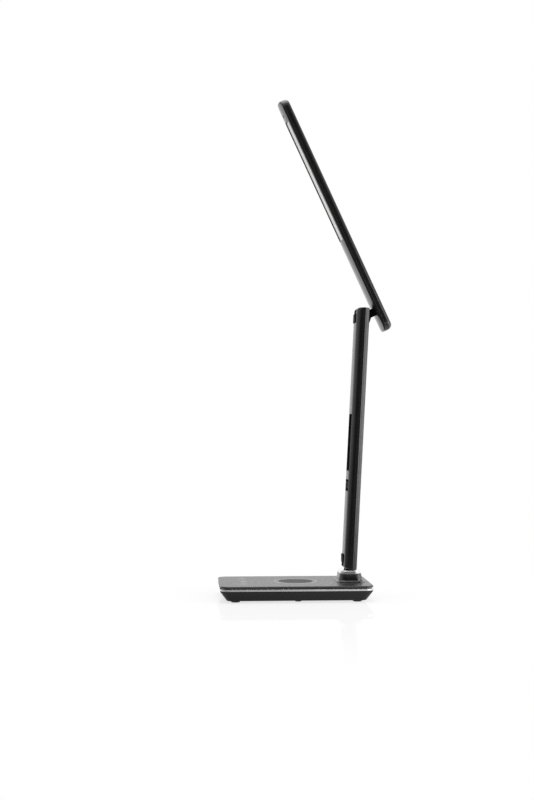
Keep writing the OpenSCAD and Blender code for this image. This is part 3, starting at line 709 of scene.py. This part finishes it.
def lower_shell():
    """Tray of the base with slanted sides, pockets for feet and screws, and the mouth of the inlet."""
    z_band = z_rim - BAND_H
    slope_deg = math.degrees(math.atan2(z_band - z_shell, SLOPE_IN))
    middle = SLOPE_IN + SHELL_EDGE_R * math.tan(math.radians(slope_deg / 2))
    edge = arc((middle, z_shell + SHELL_EDGE_R), SHELL_EDGE_R, 270, 270 - slope_deg, 6)
    section = [(inset, z, SLOPE_CORNER_SHARE) for inset, z in edge]
    section += [
        (BAND_IN, z_band - BAND_BEND, SLOPE_CORNER_SHARE),
        (0, z_band + BAND_BEND),
        (0, z_rim - SEAM),
        (SEAM, z_rim),
        (WALL, z_rim),
        (WALL, z_band),
        (WALL + SLOPE_IN, z_shell + FLOOR_T, SLOPE_CORNER_SHARE),
    ]
    cuts = [pocket(place, (FOOT_R, FOOT_SINK)) for place in corner_places]
    cuts += [pocket(place, (MIDDLE_FOOT_R, FOOT_SINK)) for place in middle_places]
    for place in post_places:
        cuts.append(pocket(place, (SCREW_HEAD_R, SCREW_POCKET), (SCREW_HEAD_R / 2, FLOOR_T + CUT)))
    mouth = inlet_high.x
    cuts.append(inlet_solid([(inlet_low.x, SNUG), (mouth, SNUG), (mouth + SNUG, INLET_FLARE),
                             (base_l, INLET_FLARE)]))
    piece("lower_shell", "base_lower_shell", base_solid(section), BASE, "base", "shell", cuts)


def trim():
    """Bright ring between the cover and the shell, with a lip over the shell and a shadow gap above."""
    band_low, band_high = z_rim - TRIM_LAP, z_cover - TRIM_GAP
    middle = TRIM_EDGE - TRIM_PROUD
    section = [
        (WALL, z_rim),
        (-TRIM_CLEAR, z_rim),
        (-TRIM_CLEAR, band_low),
        *arc((middle, band_low + TRIM_EDGE), TRIM_EDGE, 270, 180, 4),
        *arc((middle, band_high - TRIM_EDGE), TRIM_EDGE, 180, 90, 4),
        (WALL, band_high),
    ]
    piece("trim_band", "trim_ring", base_solid(section, looped=True), BASE, "base", "chrome")


def feet():
    """Rubber feet with a rounded tread and a shallow dish in the middle."""
    for name, node, radius, places in (
        ("corner_pads", "corner_feet", FOOT_R, corner_places),
        ("middle_pads", "middle_feet", MIDDLE_FOOT_R, middle_places),
    ):
        profile = [(radius * share, TREAD_DISH * rise) for share, rise in TREAD_DISH_SHARES]
        profile += arc((radius - TREAD_EDGE, TREAD_EDGE), TREAD_EDGE, 270, 360, 4)
        profile.append((radius, z_shell + FOOT_SINK))
        first, *others = (turned(profile, place, 40) for place in places)
        piece(name, node, first, BASE, "base", "rubber", adds=others)


def pad():
    """Round silicone pad of the charger with a soft rim and two fine grooves."""
    radius = (pad_high.x - pad_low.x) / 2
    high = pad_high.z
    floor = high - PAD_GROOVE_DEPTH
    profile = [(radius, pad_low.z), *arc((radius - PAD_RIM, high - PAD_RIM), PAD_RIM, 0, 90, 2)]
    for share in PAD_GROOVE_SHARES:
        middle = radius * share
        profile += [(middle + PAD_GROOVE_HALF, high), (middle + PAD_GROOVE_FLOOR, floor),
                    (middle - PAD_GROOVE_FLOOR, floor), (middle - PAD_GROOVE_HALF, high)]
    profile.append((PAD_MIDDLE_R, high))
    piece("charge_disc", "charge_pad", turned(profile, (pad_x, 0), 96), BASE, "base", "pad")


def mortise():
    """Cutter of the slot that holds the lower cam's tenon."""
    return box((pedestal_x - TENON_L / 2, -TENON_W / 2, collar_high.z - MORTISE_DEPTH),
               (pedestal_x + TENON_L / 2, TENON_W / 2, collar_high.z + CUT))


def pedestal():
    """Tapered block that carries the collar, with a flange that runs into it in a hollow curve."""
    foot_w = pedestal_high.y - pedestal_low.y
    low = pedestal_low.z
    height = pedestal_high.z - COLLAR_DROP - low
    neck_foot = (FOOT_L - 2 * (FLANGE_IN + FILLET), foot_w - 2 * (FLANGE_IN + FILLET))
    sections = []

    def add_section(length, width, radius, rise):
        shift = FOOT_SHIFT * (1 - rise / height)
        sections.append((low + rise, plan(length, width, radius, pedestal_x + shift)))

    def add_neck(out, radius, rise):
        share = (rise - FLANGE_H) / (height - FLANGE_H)
        length = neck_foot[0] + (NECK_L - neck_foot[0]) * share + 2 * out
        width = neck_foot[1] + (NECK_W - neck_foot[1]) * share + 2 * out
        add_section(length, width, radius, rise)

    for inset, rise in ((0, 0), *arc((FLANGE_EDGE, FLANGE_H - FLANGE_EDGE), FLANGE_EDGE, 180, 90, 2)):
        add_section(FOOT_L - 2 * inset, foot_w - 2 * inset, PEDESTAL_FOOT_R, rise)
    for out, rise in arc((FILLET, FLANGE_H + FILLET), FILLET, 270, 180, 8)[1:]:
        add_neck(out, PEDESTAL_FOOT_R, rise)
    add_neck(0, PEDESTAL_R, height - NECK_EDGE)
    add_neck(-NECK_EDGE, PEDESTAL_R, height)
    piece("pedestal_block", "pedestal", through(Z, sections), BASE, "base", "pedestal", [mortise()])


def collar():
    """Bright collar with a rounded upper edge."""
    width = collar_high.y - collar_low.y
    low, high = collar_low.z - COLLAR_DROP, collar_high.z - COLLAR_TOP_DROP
    profile = [(COLLAR_CHAMFER, low), (0, low + COLLAR_CHAMFER)]
    profile += arc((COLLAR_EDGE_R, high - COLLAR_EDGE_R), COLLAR_EDGE_R, 180, 90, 6)
    sections = []
    for inset, z in profile:
        outline = plan(COLLAR_L - 2 * inset, width - 2 * inset, PEDESTAL_R - inset, pedestal_x - COLLAR_BACK)
        sections.append((z, outline))
    piece("collar_band", "collar", through(Z, sections), BASE, "base", "chrome", [mortise()])


def cam(outline):
    """Solid of a hinge cam along Y, whose two rims are chamfered."""
    narrow = shrink(outline, CAM_EDGE)
    side = KNUCKLE_HALF - CAM_EDGE
    return through(Y, [(-KNUCKLE_HALF, narrow), (-side, outline), (side, outline), (KNUCKLE_HALF, narrow)])


def knuckle_low():
    """Black cam on the collar that the stem turns on."""
    side = math.degrees(math.acos(KNUCKLE_FLAT / KNUCKLE_R))
    step = math.degrees(math.asin(KNUCKLE_STEP / KNUCKLE_R))
    outline = [(-KNUCKLE_FLAT, KNUCKLE_STEP)]
    outline += arc((0, 0), KNUCKLE_R, 180 + side, 270 + step, 24)
    outline += arc((0, 0), KNUCKLE_STEP, 0, 90, 8)
    rise = lower_hinge.z / MM - collar_high.z + COLLAR_TOP_DROP
    half_l, half_w = TENON_L / 2 - SNUG, TENON_W / 2 - SNUG
    neck = box((-NECK_FRONT, -KNUCKLE_HALF, NECK_SEAT - rise), (NECK_BACK, KNUCKLE_HALF, -KNUCKLE_R / 2))
    tenon = box((-half_l, -half_w, COLLAR_TOP_DROP - rise - TENON_DEPTH), (half_l, half_w, -KNUCKLE_R / 2))
    piece("lower_cam", "lower_knuckle", cam(outline), local_frame(lower_hinge, 0), "base", "cam",
          adds=[neck, tenon])


def inlet():
    """Metal socket with round ends, its tongue and contacts."""
    back, mouth = inlet_low.x, inlet_high.x
    socket = inlet_solid([
        (back, 0),
        (mouth - INLET_EDGE, 0),
        (mouth, -INLET_LIP_OUT),
        (mouth, INLET_LIP_IN - INLET_WALL),
        (mouth - INLET_EDGE, -INLET_WALL),
        (back + INLET_WALL, -INLET_WALL),
    ])
    middle = (inlet_low.z + inlet_high.z) / 2
    half_t = TONGUE_HALF_T + CONTACT_PROUD
    adds = [box((back, -TONGUE_HALF_W, middle - TONGUE_HALF_T),
                (mouth - TONGUE_BACK, TONGUE_HALF_W, middle + TONGUE_HALF_T))]
    for k in range(-CONTACTS_A_SIDE, CONTACTS_A_SIDE + 1):
        y = k * CONTACT_PITCH
        adds.append(box((mouth - CONTACT_REAR, y - CONTACT_HALF_W, middle - half_t),
                        (mouth - CONTACT_FRONT, y + CONTACT_HALF_W, middle + half_t)))
    piece("socket", "power_inlet", socket, BASE, "base", "steel", adds=adds)


top_cover()
lower_shell()
trim()
feet()
pad()
pedestal()
collar()
knuckle_low()
inlet()

# Stem, in its own frame: x runs from its front face to its back, z up from the lower hinge axis
STEM_HALF_T = 7.25
STEM_HALF_W = 17.0
STEM_EDGE_R = 6.5
STEM_SPLIT = 3.5
STEM_FOOT = 11.4
FOOT_SWEEP_R = 11.6
FOOT_BACK_R = 1.2
FOOT_LEVELS = (0.0, 0.2, 0.5, 0.9, FOOT_BACK_R, 1.8, 2.6)
EAR_FRONT_R = 3.6
EAR_BACK_R = 1.4
EAR_LEVELS = (EAR_FRONT_R, 2.6, EAR_BACK_R, 0.9, 0.5, 0.2, 0.0)
FRONT_EDGE_SHARE = 0.8
EDGE_SHARE = 0.6
CREASE = 2.5
CREASE_R = 0.15
CROWN = 0.7
CROWN_R = 100.0
SIDE_SLANT = 0.45
BACK_EDGE_R = 1.6
SEAM_R = 0.3
REAR_SEAM_R = 0.24
SEAM_GROOVE = 0.1
FRONT_WALL = 2.4
SIDE_WALL = 1.8
BACK_WALL = 1.6
CAVITY_LOW = 11.95
CAVITY_FRONT_R = 3.0
CAVITY_BACK_R = 1.0
# Slots of the two cams, and bores of the hinge pins
SLOT_HALF = 9.05
SLOT_R = 9.35
UPPER_SLOT_R = 12.5
SLOT_BACK = 5.2
SLOT_FLOOR = 2.0
BORE_FAR = 15.2
CAP_R = 3.05
CAP_DEPTH = 1.5
# Display and keys. Rims are steps of (depth, inset).
LAP = 1.5
OPENING_R = 1.2
OPENING_EDGE = 0.55
PANEL_R = 1.0
PANEL_RIM = ((0, 0.15), (0.15, 0))
KEY_NODES = ("key_left", "key_middle", "key_right")
KEY_RISE = 0.6
KEY_GAP = 0.15
KEY_R = 1.1
KEY_RIM = ((0, 0.4), (0.12, 0.14), (0.4, 0))
KEY_FLANGE = 0.4
KEY_FLANGE_T = 0.5
KEY_POST_R = 1.2
KEY_POST_IN = 0.3
SYMBOL_HALF = 1.2
SYMBOL_BAR = 0.25
SYMBOL_PROUD = 0.12
SYMBOL_ROOT = 0.1

window_low, window_high = extent("display_window", STEM)
plate_low, plate_high = extent("key_plate", STEM)


def stem_levels():
    """Heights along the stem with its reach to the front and to the back there."""
    levels = []
    for height in FOOT_LEVELS:
        front = math.sqrt(FOOT_SWEEP_R**2 - (STEM_FOOT - height)**2)
        back = STEM_HALF_T - round_off(height, FOOT_BACK_R)
        levels.append((height - STEM_FOOT, min(front, STEM_HALF_T), back))
    top = span + STEM_HALF_T
    for height in EAR_LEVELS:
        front, back = (STEM_HALF_T - round_off(height, radius) for radius in (EAR_FRONT_R, EAR_BACK_R))
        levels.append((top - height, front, back))
    return levels


def side_at(x):
    """Half width of the stem at a depth: straight in front, then slanting inwards from its crease."""
    return STEM_HALF_W - max(0.0, x - CREASE) * SIDE_SLANT


def mirrored(half, *middle):
    """Outline from the corners (x, y, radius) of one side, their mirror images and the corners between."""
    return rounded([(x, -y, r) for x, y, r in half] + [(x, y, r) for x, y, r in reversed(half)] + [*middle])


def front_section(front):
    """Section of the front shell, whose face is slightly crowned."""
    edge = min(STEM_EDGE_R, (front + CREASE) * FRONT_EDGE_SHARE)
    half = [(CROWN - front, STEM_HALF_W, edge), (CREASE, STEM_HALF_W, CREASE_R),
            (STEM_SPLIT, side_at(STEM_SPLIT), SEAM_R)]
    return mirrored(half, (-front - CROWN, 0, CROWN_R))


def rear_section(back):
    """Section of the rear shell, whose sides go on slanting inwards to a rounded back edge."""
    edge = min(BACK_EDGE_R, (back - STEM_SPLIT) * EDGE_SHARE)
    return mirrored([(STEM_SPLIT, side_at(STEM_SPLIT) - SEAM_GROOVE, REAR_SEAM_R),
                     (back, side_at(back), edge)])


def stem_cutters():
    """Cutters of the hollow inside the stem, of the slots for both cams and of the pin bores."""
    x0, x1 = FRONT_WALL - STEM_HALF_T, STEM_HALF_T - BACK_WALL
    y0, y1 = STEM_HALF_W - SIDE_WALL, side_at(x1) - SIDE_WALL
    hollow = rounded([(x0, -y0, CAVITY_FRONT_R), (x1, -y1, CAVITY_BACK_R), (x1, y1, CAVITY_BACK_R),
                      (x0, y0, CAVITY_FRONT_R)], 4)
    far = 2 * STEM_HALF_T
    below = -2 * STEM_FOOT
    notch = [(-far, below), (SLOT_BACK, below), (SLOT_BACK, -KNUCKLE_STEP), (STEM_SPLIT, -KNUCKLE_STEP),
             (STEM_SPLIT, 0), (-far, 0)]
    side = math.degrees(math.acos(SLOT_BACK / SLOT_R))
    cutters = [
        prism(Z, hollow, CAVITY_LOW, span - UPPER_SLOT_R - SLOT_FLOOR),
        prism(Y, notch, -SLOT_HALF, SLOT_HALF),
        prism(Y, arc((0, 0), SLOT_R, side, 360 - side, 48), -SLOT_HALF, SLOT_HALF),
        rod(Y, (0, span), UPPER_SLOT_R, -SLOT_HALF, SLOT_HALF),
        box((-far, -SLOT_HALF, span), (far, SLOT_HALF, span + far)),
    ]
    for radius, start in ((PIN_R, -BORE_FAR), (CAP_R, STEM_HALF_W - CAP_DEPTH)):
        cutters += [rod(Y, (0, z), radius, start, STEM_HALF_W + CUT, 32) for z in (0, span)]
    return cutters


def face_opening(low, high):
    """Cutter of an opening in the stem's front face in front of a panel that laps behind it."""
    y = high.y - LAP
    z0, z1 = low.z + LAP, high.z - LAP
    return opening(lambda grow: rectangle(-y - grow, y + grow, z0 - grow, z1 + grow, OPENING_R + grow, 6),
                   -STEM_HALF_T, FRONT_WALL + CUT, OPENING_EDGE)


def stem_shells():
    """Front and rear shell of the stem."""
    heights, fronts, backs = zip(*stem_levels())
    front = through(Z, zip(heights, map(front_section, fronts)))
    rear = through(Z, zip(heights, map(rear_section, backs)))
    openings = [face_opening(window_low, window_high), face_opening(plate_low, plate_high)]
    piece("stem_front", "stem_front_shell", front, STEM, "stem", "satin", [*stem_cutters(), *openings])
    piece("stem_rear", "stem_rear_shell", rear, STEM, "stem", "side", stem_cutters())


def display():
    """Smoked window of the clock display."""
    piece("display_pane", "display_window", front_panel(window_low, window_high, PANEL_R, PANEL_RIM),
          STEM, "stem", "window")


def key_symbol(node, middle, face):
    """Raised generic symbol of a key: a bar, a ring or a cross."""
    y, z = middle
    front, back = face - SYMBOL_PROUD, face + SYMBOL_ROOT
    if node == "key_middle":
        outer, inner = (circle(middle, radius, 28) for radius in (SYMBOL_HALF, SYMBOL_HALF - 2 * SYMBOL_BAR))
        return [through(X, [(back, outer), (front, outer), (front, inner), (back, inner)], looped=True)]
    parts = [box((front, y - SYMBOL_HALF, z - SYMBOL_BAR), (back, y + SYMBOL_HALF, z + SYMBOL_BAR))]
    if node == "key_right":
        parts.append(box((front, y - SYMBOL_BAR, z - SYMBOL_HALF), (back, y + SYMBOL_BAR, z + SYMBOL_HALF)))
    return parts


def keys():
    """Plate with three key caps, each on its own body."""
    gap = Vector((CUT, KEY_GAP, KEY_GAP))
    cuts = []
    for node in KEY_NODES:
        full_low, full_high = extent(node, STEM)
        low = Vector((full_low.x - KEY_RISE, full_low.y + KEY_FLANGE, full_low.z + KEY_FLANGE))
        high = Vector((plate_high.x, full_high.y - KEY_FLANGE, full_high.z - KEY_FLANGE))
        cuts.append(box(low - gap, high + gap))
        middle = ((low.y + high.y) / 2, (low.z + high.z) / 2)
        flange = box((high.x, full_low.y, full_low.z), (high.x + KEY_FLANGE_T, full_high.y, full_high.z))
        post = rod(X, middle, KEY_POST_R, high.x + KEY_POST_IN, full_high.x, 24)
        piece(node + "_cap", node, front_panel(low, high, KEY_R, KEY_RIM), STEM, node, "key",
              adds=[flange, post, *key_symbol(node, middle, low.x)])
    piece("key_panel", "key_plate", front_panel(plate_low, plate_high, PANEL_R, PANEL_RIM), STEM, "stem",
          "gloss", cuts)


stem_shells()
display()
keys()

# Head, in its own frame: x runs from the hinge axis to its underside and its top, z up to its tip
TAIL_REACH = 2.4
HEAD_HALF_W = 17.0
HEAD_SPLIT = 4.0
LOW_R = 3.6
LOW_TIP_R = 0.7
LOW_TAIL_R = 2.2
EDGE_R = 4.5
TIP_R = 5.0
TAIL_R = 5.0
PLAN_R = 9.5
END_STEPS = 16
UNDER_CROWN = 1.3
UNDER_PEAK = 0.7
UNDER_CROWN_R = 90.0
UNDER_SEAM_SHARE = 0.08
TOP_SEAM_SHARE = 0.2
HEAD_FLOOR = 2.0
HEAD_ROOF = 1.8
# Light panel and plug in the underside
LIGHT_HALF_W = 12.0
LIGHT_R = 1.0
LIGHT_EDGE = 0.4
PLUG_CLEAR = 0.05
PLUG_HOLE = 1.6
PLUG_EDGE = 0.3
PLUG_RIM = ((0, 0.4), (0.1, 0.12), (0.4, 0))
# Upper cam, with the boss that goes into the head and the flange inside it
BOSS_LOW = 7.3
BOSS_HIGH = 1.5
CAM_R = 7.6
CAM_REACH = 12.3
CAM_STEP = 0.3
CAM_STEP_DEG = 2
CAM_END_DEG = 285
FLANGE_HALF_W = 13.0
FLANGE_HALF_L = 12.0
FLANGE_T = 2.0

under_low, under_high = extent("head_underside", HEAD)
light_low, light_high = extent("light_guide", HEAD)
plug_low, plug_high = extent("underside_plug", HEAD)
head_low = under_low.x
head_high = extent("head_top_shell", HEAD)[1].x
head_middle = (head_low + head_high) / 2
head_tail = TAIL_REACH - under_low.z
head_tip = under_high.z


def head_levels():
    """Heights along the head, close together where its ends are round."""
    steps = [PLAN_R * (1 - math.cos(math.radians(90 * k / END_STEPS))) for k in range(END_STEPS + 1)]
    return [step - head_tail for step in steps] + [head_tip - step for step in reversed(steps)]


def head_section(z, under):
    """Section of the underside shell or of the top shell at a height."""
    from_tail, from_tip = z + head_tail, head_tip - z
    half_w = HEAD_HALF_W - max(round_off(from_tail, PLAN_R), round_off(from_tip, PLAN_R))
    low = head_low + max(round_off(from_tail, LOW_TAIL_R), round_off(from_tip, LOW_TIP_R))
    high = head_high - max(round_off(from_tail, TAIL_R), round_off(from_tip, TIP_R))
    split = head_low + HEAD_SPLIT
    if under:
        x0, x1 = low, min(split, high)
        edge, seam = min(LOW_R, (x1 - x0) * EDGE_SHARE), min(SEAM_R, (x1 - x0) * UNDER_SEAM_SHARE)
        share = half_w / HEAD_HALF_W
        side = x0 + UNDER_CROWN * share
        return rounded([(x0 - UNDER_PEAK * share, 0, UNDER_CROWN_R * share), (side, -half_w, edge),
                        (x1, -half_w, seam), (x1, half_w, seam), (side, half_w, edge)])
    x0, x1 = max(split, low), high
    edge, seam = min(EDGE_R, (x1 - x0) * EDGE_SHARE), min(SEAM_R, (x1 - x0) * TOP_SEAM_SHARE)
    return rounded([(x0, -half_w, seam), (x1, -half_w, edge), (x1, half_w, edge), (x0, half_w, seam)])


def head_shell(under):
    """Solid of the underside shell or of the top shell."""
    return through(Z, [(z, head_section(z, under)) for z in head_levels()])


def head_cavity():
    """Cutters of the hollow in the head: wide behind the panel, narrower under the roof."""
    floor, roof = head_low + HEAD_FLOOR, head_high - HEAD_ROOF
    cutters = []
    for inset, top in ((SIDE_WALL, roof - EDGE_R + SIDE_WALL), (EDGE_R, roof)):
        half_w = HEAD_HALF_W - inset
        outline = rectangle(-half_w, half_w, TAIL_R - head_tail, head_tip - TIP_R, PLAN_R - SIDE_WALL, 5)
        cutters.append(prism(X, outline, floor, top))
    return cutters


def head_shells():
    """Underside with the panel's opening, the top shell, and the plug near the tip."""
    panel = opening(lambda grow: rectangle(-LIGHT_HALF_W - grow, LIGHT_HALF_W + grow, light_low.z - grow,
                                           light_high.z + grow, LIGHT_R + grow, 5),
                    head_low, head_middle - head_low, LIGHT_EDGE)
    half_w = KNUCKLE_HALF + SNUG
    hatch = box((0, -half_w, -BOSS_LOW - SNUG), (head_middle, half_w, BOSS_HIGH + SNUG))
    centre = (0, (plug_low.z + plug_high.z) / 2)
    radius = (plug_high.y - plug_low.y) / 2
    hole_r = radius + PLUG_CLEAR
    hole = opening(lambda grow: circle(centre, hole_r + grow, 24), head_low, PLUG_HOLE, PLUG_EDGE)
    piece("head_lower", "head_underside", head_shell(True), HEAD, "head", "head_low",
          [*head_cavity(), panel, hatch, hole])
    piece("head_upper", "head_top_shell", head_shell(False), HEAD, "head", "satin", head_cavity())
    sections = [(plug_low.x + depth, circle(centre, radius - inset, 24)) for depth, inset in PLUG_RIM]
    sections.append((plug_high.x, circle(centre, radius, 24)))
    piece("tip_plug", "underside_plug", through(X, sections), HEAD, "head", "rubber")


def knuckle_high():
    """Black knuckle that joins the head to the stem, with a cam that fills the stem's front slot."""
    raised = math.degrees(stem_lean + head_lean)
    front = 180 - raised
    low = math.degrees(math.acos(KNUCKLE_FLAT / CAM_REACH))
    turn = Matrix.Rotation(math.radians(raised), 2)
    floor = head_low + HEAD_FLOOR
    outline = arc((0, 0), CAM_R, math.degrees(math.asin(BOSS_HIGH / CAM_R)), front - CAM_STEP_DEG, 20)
    outline.append(tuple(Vector((-KNUCKLE_FLAT, CAM_STEP)) @ turn))
    outline += arc((0, 0), CAM_REACH, front + low, CAM_END_DEG, 10)
    outline += [(CAM_R, -BOSS_LOW), (floor, -BOSS_LOW), (floor, BOSS_HIGH)]
    flange = box((floor, -FLANGE_HALF_W, -FLANGE_HALF_L), (floor + FLANGE_T, FLANGE_HALF_W, FLANGE_HALF_L))
    bore = rod(Y, (0, 0), PIN_R, -KNUCKLE_HALF - CUT, KNUCKLE_HALF + CUT, 32)
    piece("upper_cam", "upper_knuckle", cam(outline), HEAD, "head", "cam", [bore], [flange])


head_shells()
knuckle_high()

# Finishes of the pieces that stay as they are
NODE_FINISHES = {
    "steel": "ballast_plate stem_spine lower_pin upper_pin",
    "screw": "case_screws pedestal_screws spine_screws knuckle_screws",
    "board": "base_board touch_board control_board",
    "mark": "pad_ring touch_marks",
    "washer": "lower_washers upper_washers",
    "coil": "charging_coil",
    "ferrite": "coil_shield",
    "ribbon": "stem_ribbon",
    "lcd": "lcd_panel",
    "switch": "key_switches",
    "cell": "clock_battery",
    "gloss": "pin_caps",
    "diffuser": "light_diffuser",
    "guide": "light_guide",
    "sheet": "reflector_sheet",
    "led": "led_strips",
    "heat": "heat_plate",
}
finishes["coil"] = wound_copper((pad_x, 0))
for finish, names in NODE_FINISHES.items():
    for node in names.split():
        for material_slot in frame["nodes"][node].material_slots:
            material_slot.material = finishes[finish]

# Floor, light and background: brightness, and the places in metres between which it changes
AMBIENT = 0.72
BEHIND_CAMERA = 0.03
FLOOR_HALF = 6.0
FLOOR_LEVEL = 0.93
FLOOR_GLOW = 0.72
FLOOR_FADE = (0.14, 0.5)
FLOOR_ROUGHNESS = 0.04
FLOOR_POLISH = 0.3
# AHEAD_* and SIDE_* set the floor's glow as reflections see it: painted shade ahead of the lamp, painted
# light beside it
AHEAD = (0.6, 1.0, 0.0)
AHEAD_FADE = (-0.28, 0.05)
AHEAD_DARK = 0.04
SIDE_FADE = (0.35, 0.6)
SIDE_GLOW = 1.7
# Directions between which the world's reflection changes, and the lamps as name, place, aim, size and watts
REAR_FADE = (-0.96, -0.25)
TOP_FADE = (0.35, 0.75)
LAMPS = (
    ("side_box", (0.95, -0.62, 0.3), (0.06, 0, 0.2), (0.8, 0.9), 8.0),
    ("top_box", (-0.1, 0.1, 1.5), (0, 0, 0.2), (1.0, 1.0), 10.0),
)


def add_world():
    """White studio round the object: white to the eye, darker behind the camera for reflections."""
    world = bpy.data.worlds.new("studio")
    scene.world = world
    nodes = Nodes(world)
    view = nodes.coords["Generated"]
    facing = nodes.span(nodes.axis(view, "Y"), BEHIND_CAMERA, 1.0, *REAR_FADE, "SMOOTHSTEP")
    above = nodes.span(nodes.axis(view, "Z"), 0.0, 1.0, *TOP_FADE, "SMOOTHSTEP")
    path = nodes.add("ShaderNodeLightPath").outputs
    reflected = nodes.math("MAXIMUM", path["Is Glossy Ray"], path["Is Transmission Ray"])
    seen = nodes.blend(reflected, AMBIENT, nodes.math("MAXIMUM", facing, above), "FLOAT")
    strength = nodes.blend(path["Is Camera Ray"], seen, 1.0, "FLOAT")
    nodes.joined(nodes.tree.nodes["Background"], grey(1), strength)


def add_lamp(name, place, aim, size, power):
    """Rectangular soft lamp that the camera doesn't see."""
    data = bpy.data.lights.new(name, "AREA")
    data.shape = "RECTANGLE"
    data.size, data.size_y = size
    data.energy = power
    lamp = linked(name, data)
    lamp.location = place
    lamp.rotation_euler = (Vector(aim) - Vector(place)).to_track_quat("-Z", "Y").to_euler()
    lamp.visible_camera = False


def floor_material():
    """White that keeps the shadow and a faint reflection near the lamp, and shines evenly further off. Seen
    in reflections it is darker ahead of the lamp and brighter beside it: painted shade and painted light.
    """
    nodes = material_nodes("floor_white")
    nodes.tree.nodes.remove(nodes.shader)
    place = nodes.coords["Object"]
    matt = nodes.joined(nodes.add("ShaderNodeBsdfDiffuse"), grey(FLOOR_LEVEL))
    gloss = nodes.add("ShaderNodeBsdfGlossy", roughness=FLOOR_ROUGHNESS).outputs[0]
    polish = nodes.joined(nodes.add("ShaderNodeMixShader"), FLOOR_POLISH, matt, gloss)
    ahead = nodes.vector_math("DOT_PRODUCT", place, AHEAD)
    painted_shade_ahead = nodes.span(ahead, AHEAD_DARK, 1.0, *AHEAD_FADE, "SMOOTHSTEP")
    painted_light_beside = nodes.span(nodes.axis(place, "X"), 0.0, SIDE_GLOW, *SIDE_FADE, "SMOOTHSTEP")
    path = nodes.add("ShaderNodeLightPath").outputs
    # Only in reflections, the floor's glow is painted shade ahead of the lamp and painted light beside it
    strength = nodes.blend(path["Is Glossy Ray"], 1.0, nodes.math("ADD", painted_shade_ahead, painted_light_beside), "FLOAT")
    glow = nodes.joined(nodes.add("ShaderNodeEmission"), grey(1), strength)
    away = nodes.vector_math("LENGTH", place)
    fade = nodes.span(away, FLOOR_GLOW, 1.0, *FLOOR_FADE, "SMOOTHSTEP")
    mix = nodes.joined(nodes.add("ShaderNodeMixShader"), fade, polish, glow)
    nodes.put(mix, nodes.tree.nodes["Material Output"].inputs["Surface"])
    return nodes.owner


def add_floor():
    """Pale floor under the lamp."""
    bm = bmesh.new()
    bmesh.ops.create_grid(bm, x_segments=1, y_segments=1, size=FLOOR_HALF)
    floor = to_object("floor", bm)
    floor.data.materials.append(floor_material())


add_world()
for lamp in LAMPS:
    add_lamp(*lamp)
add_floor()

scene.view_settings.view_transform = "Standard"
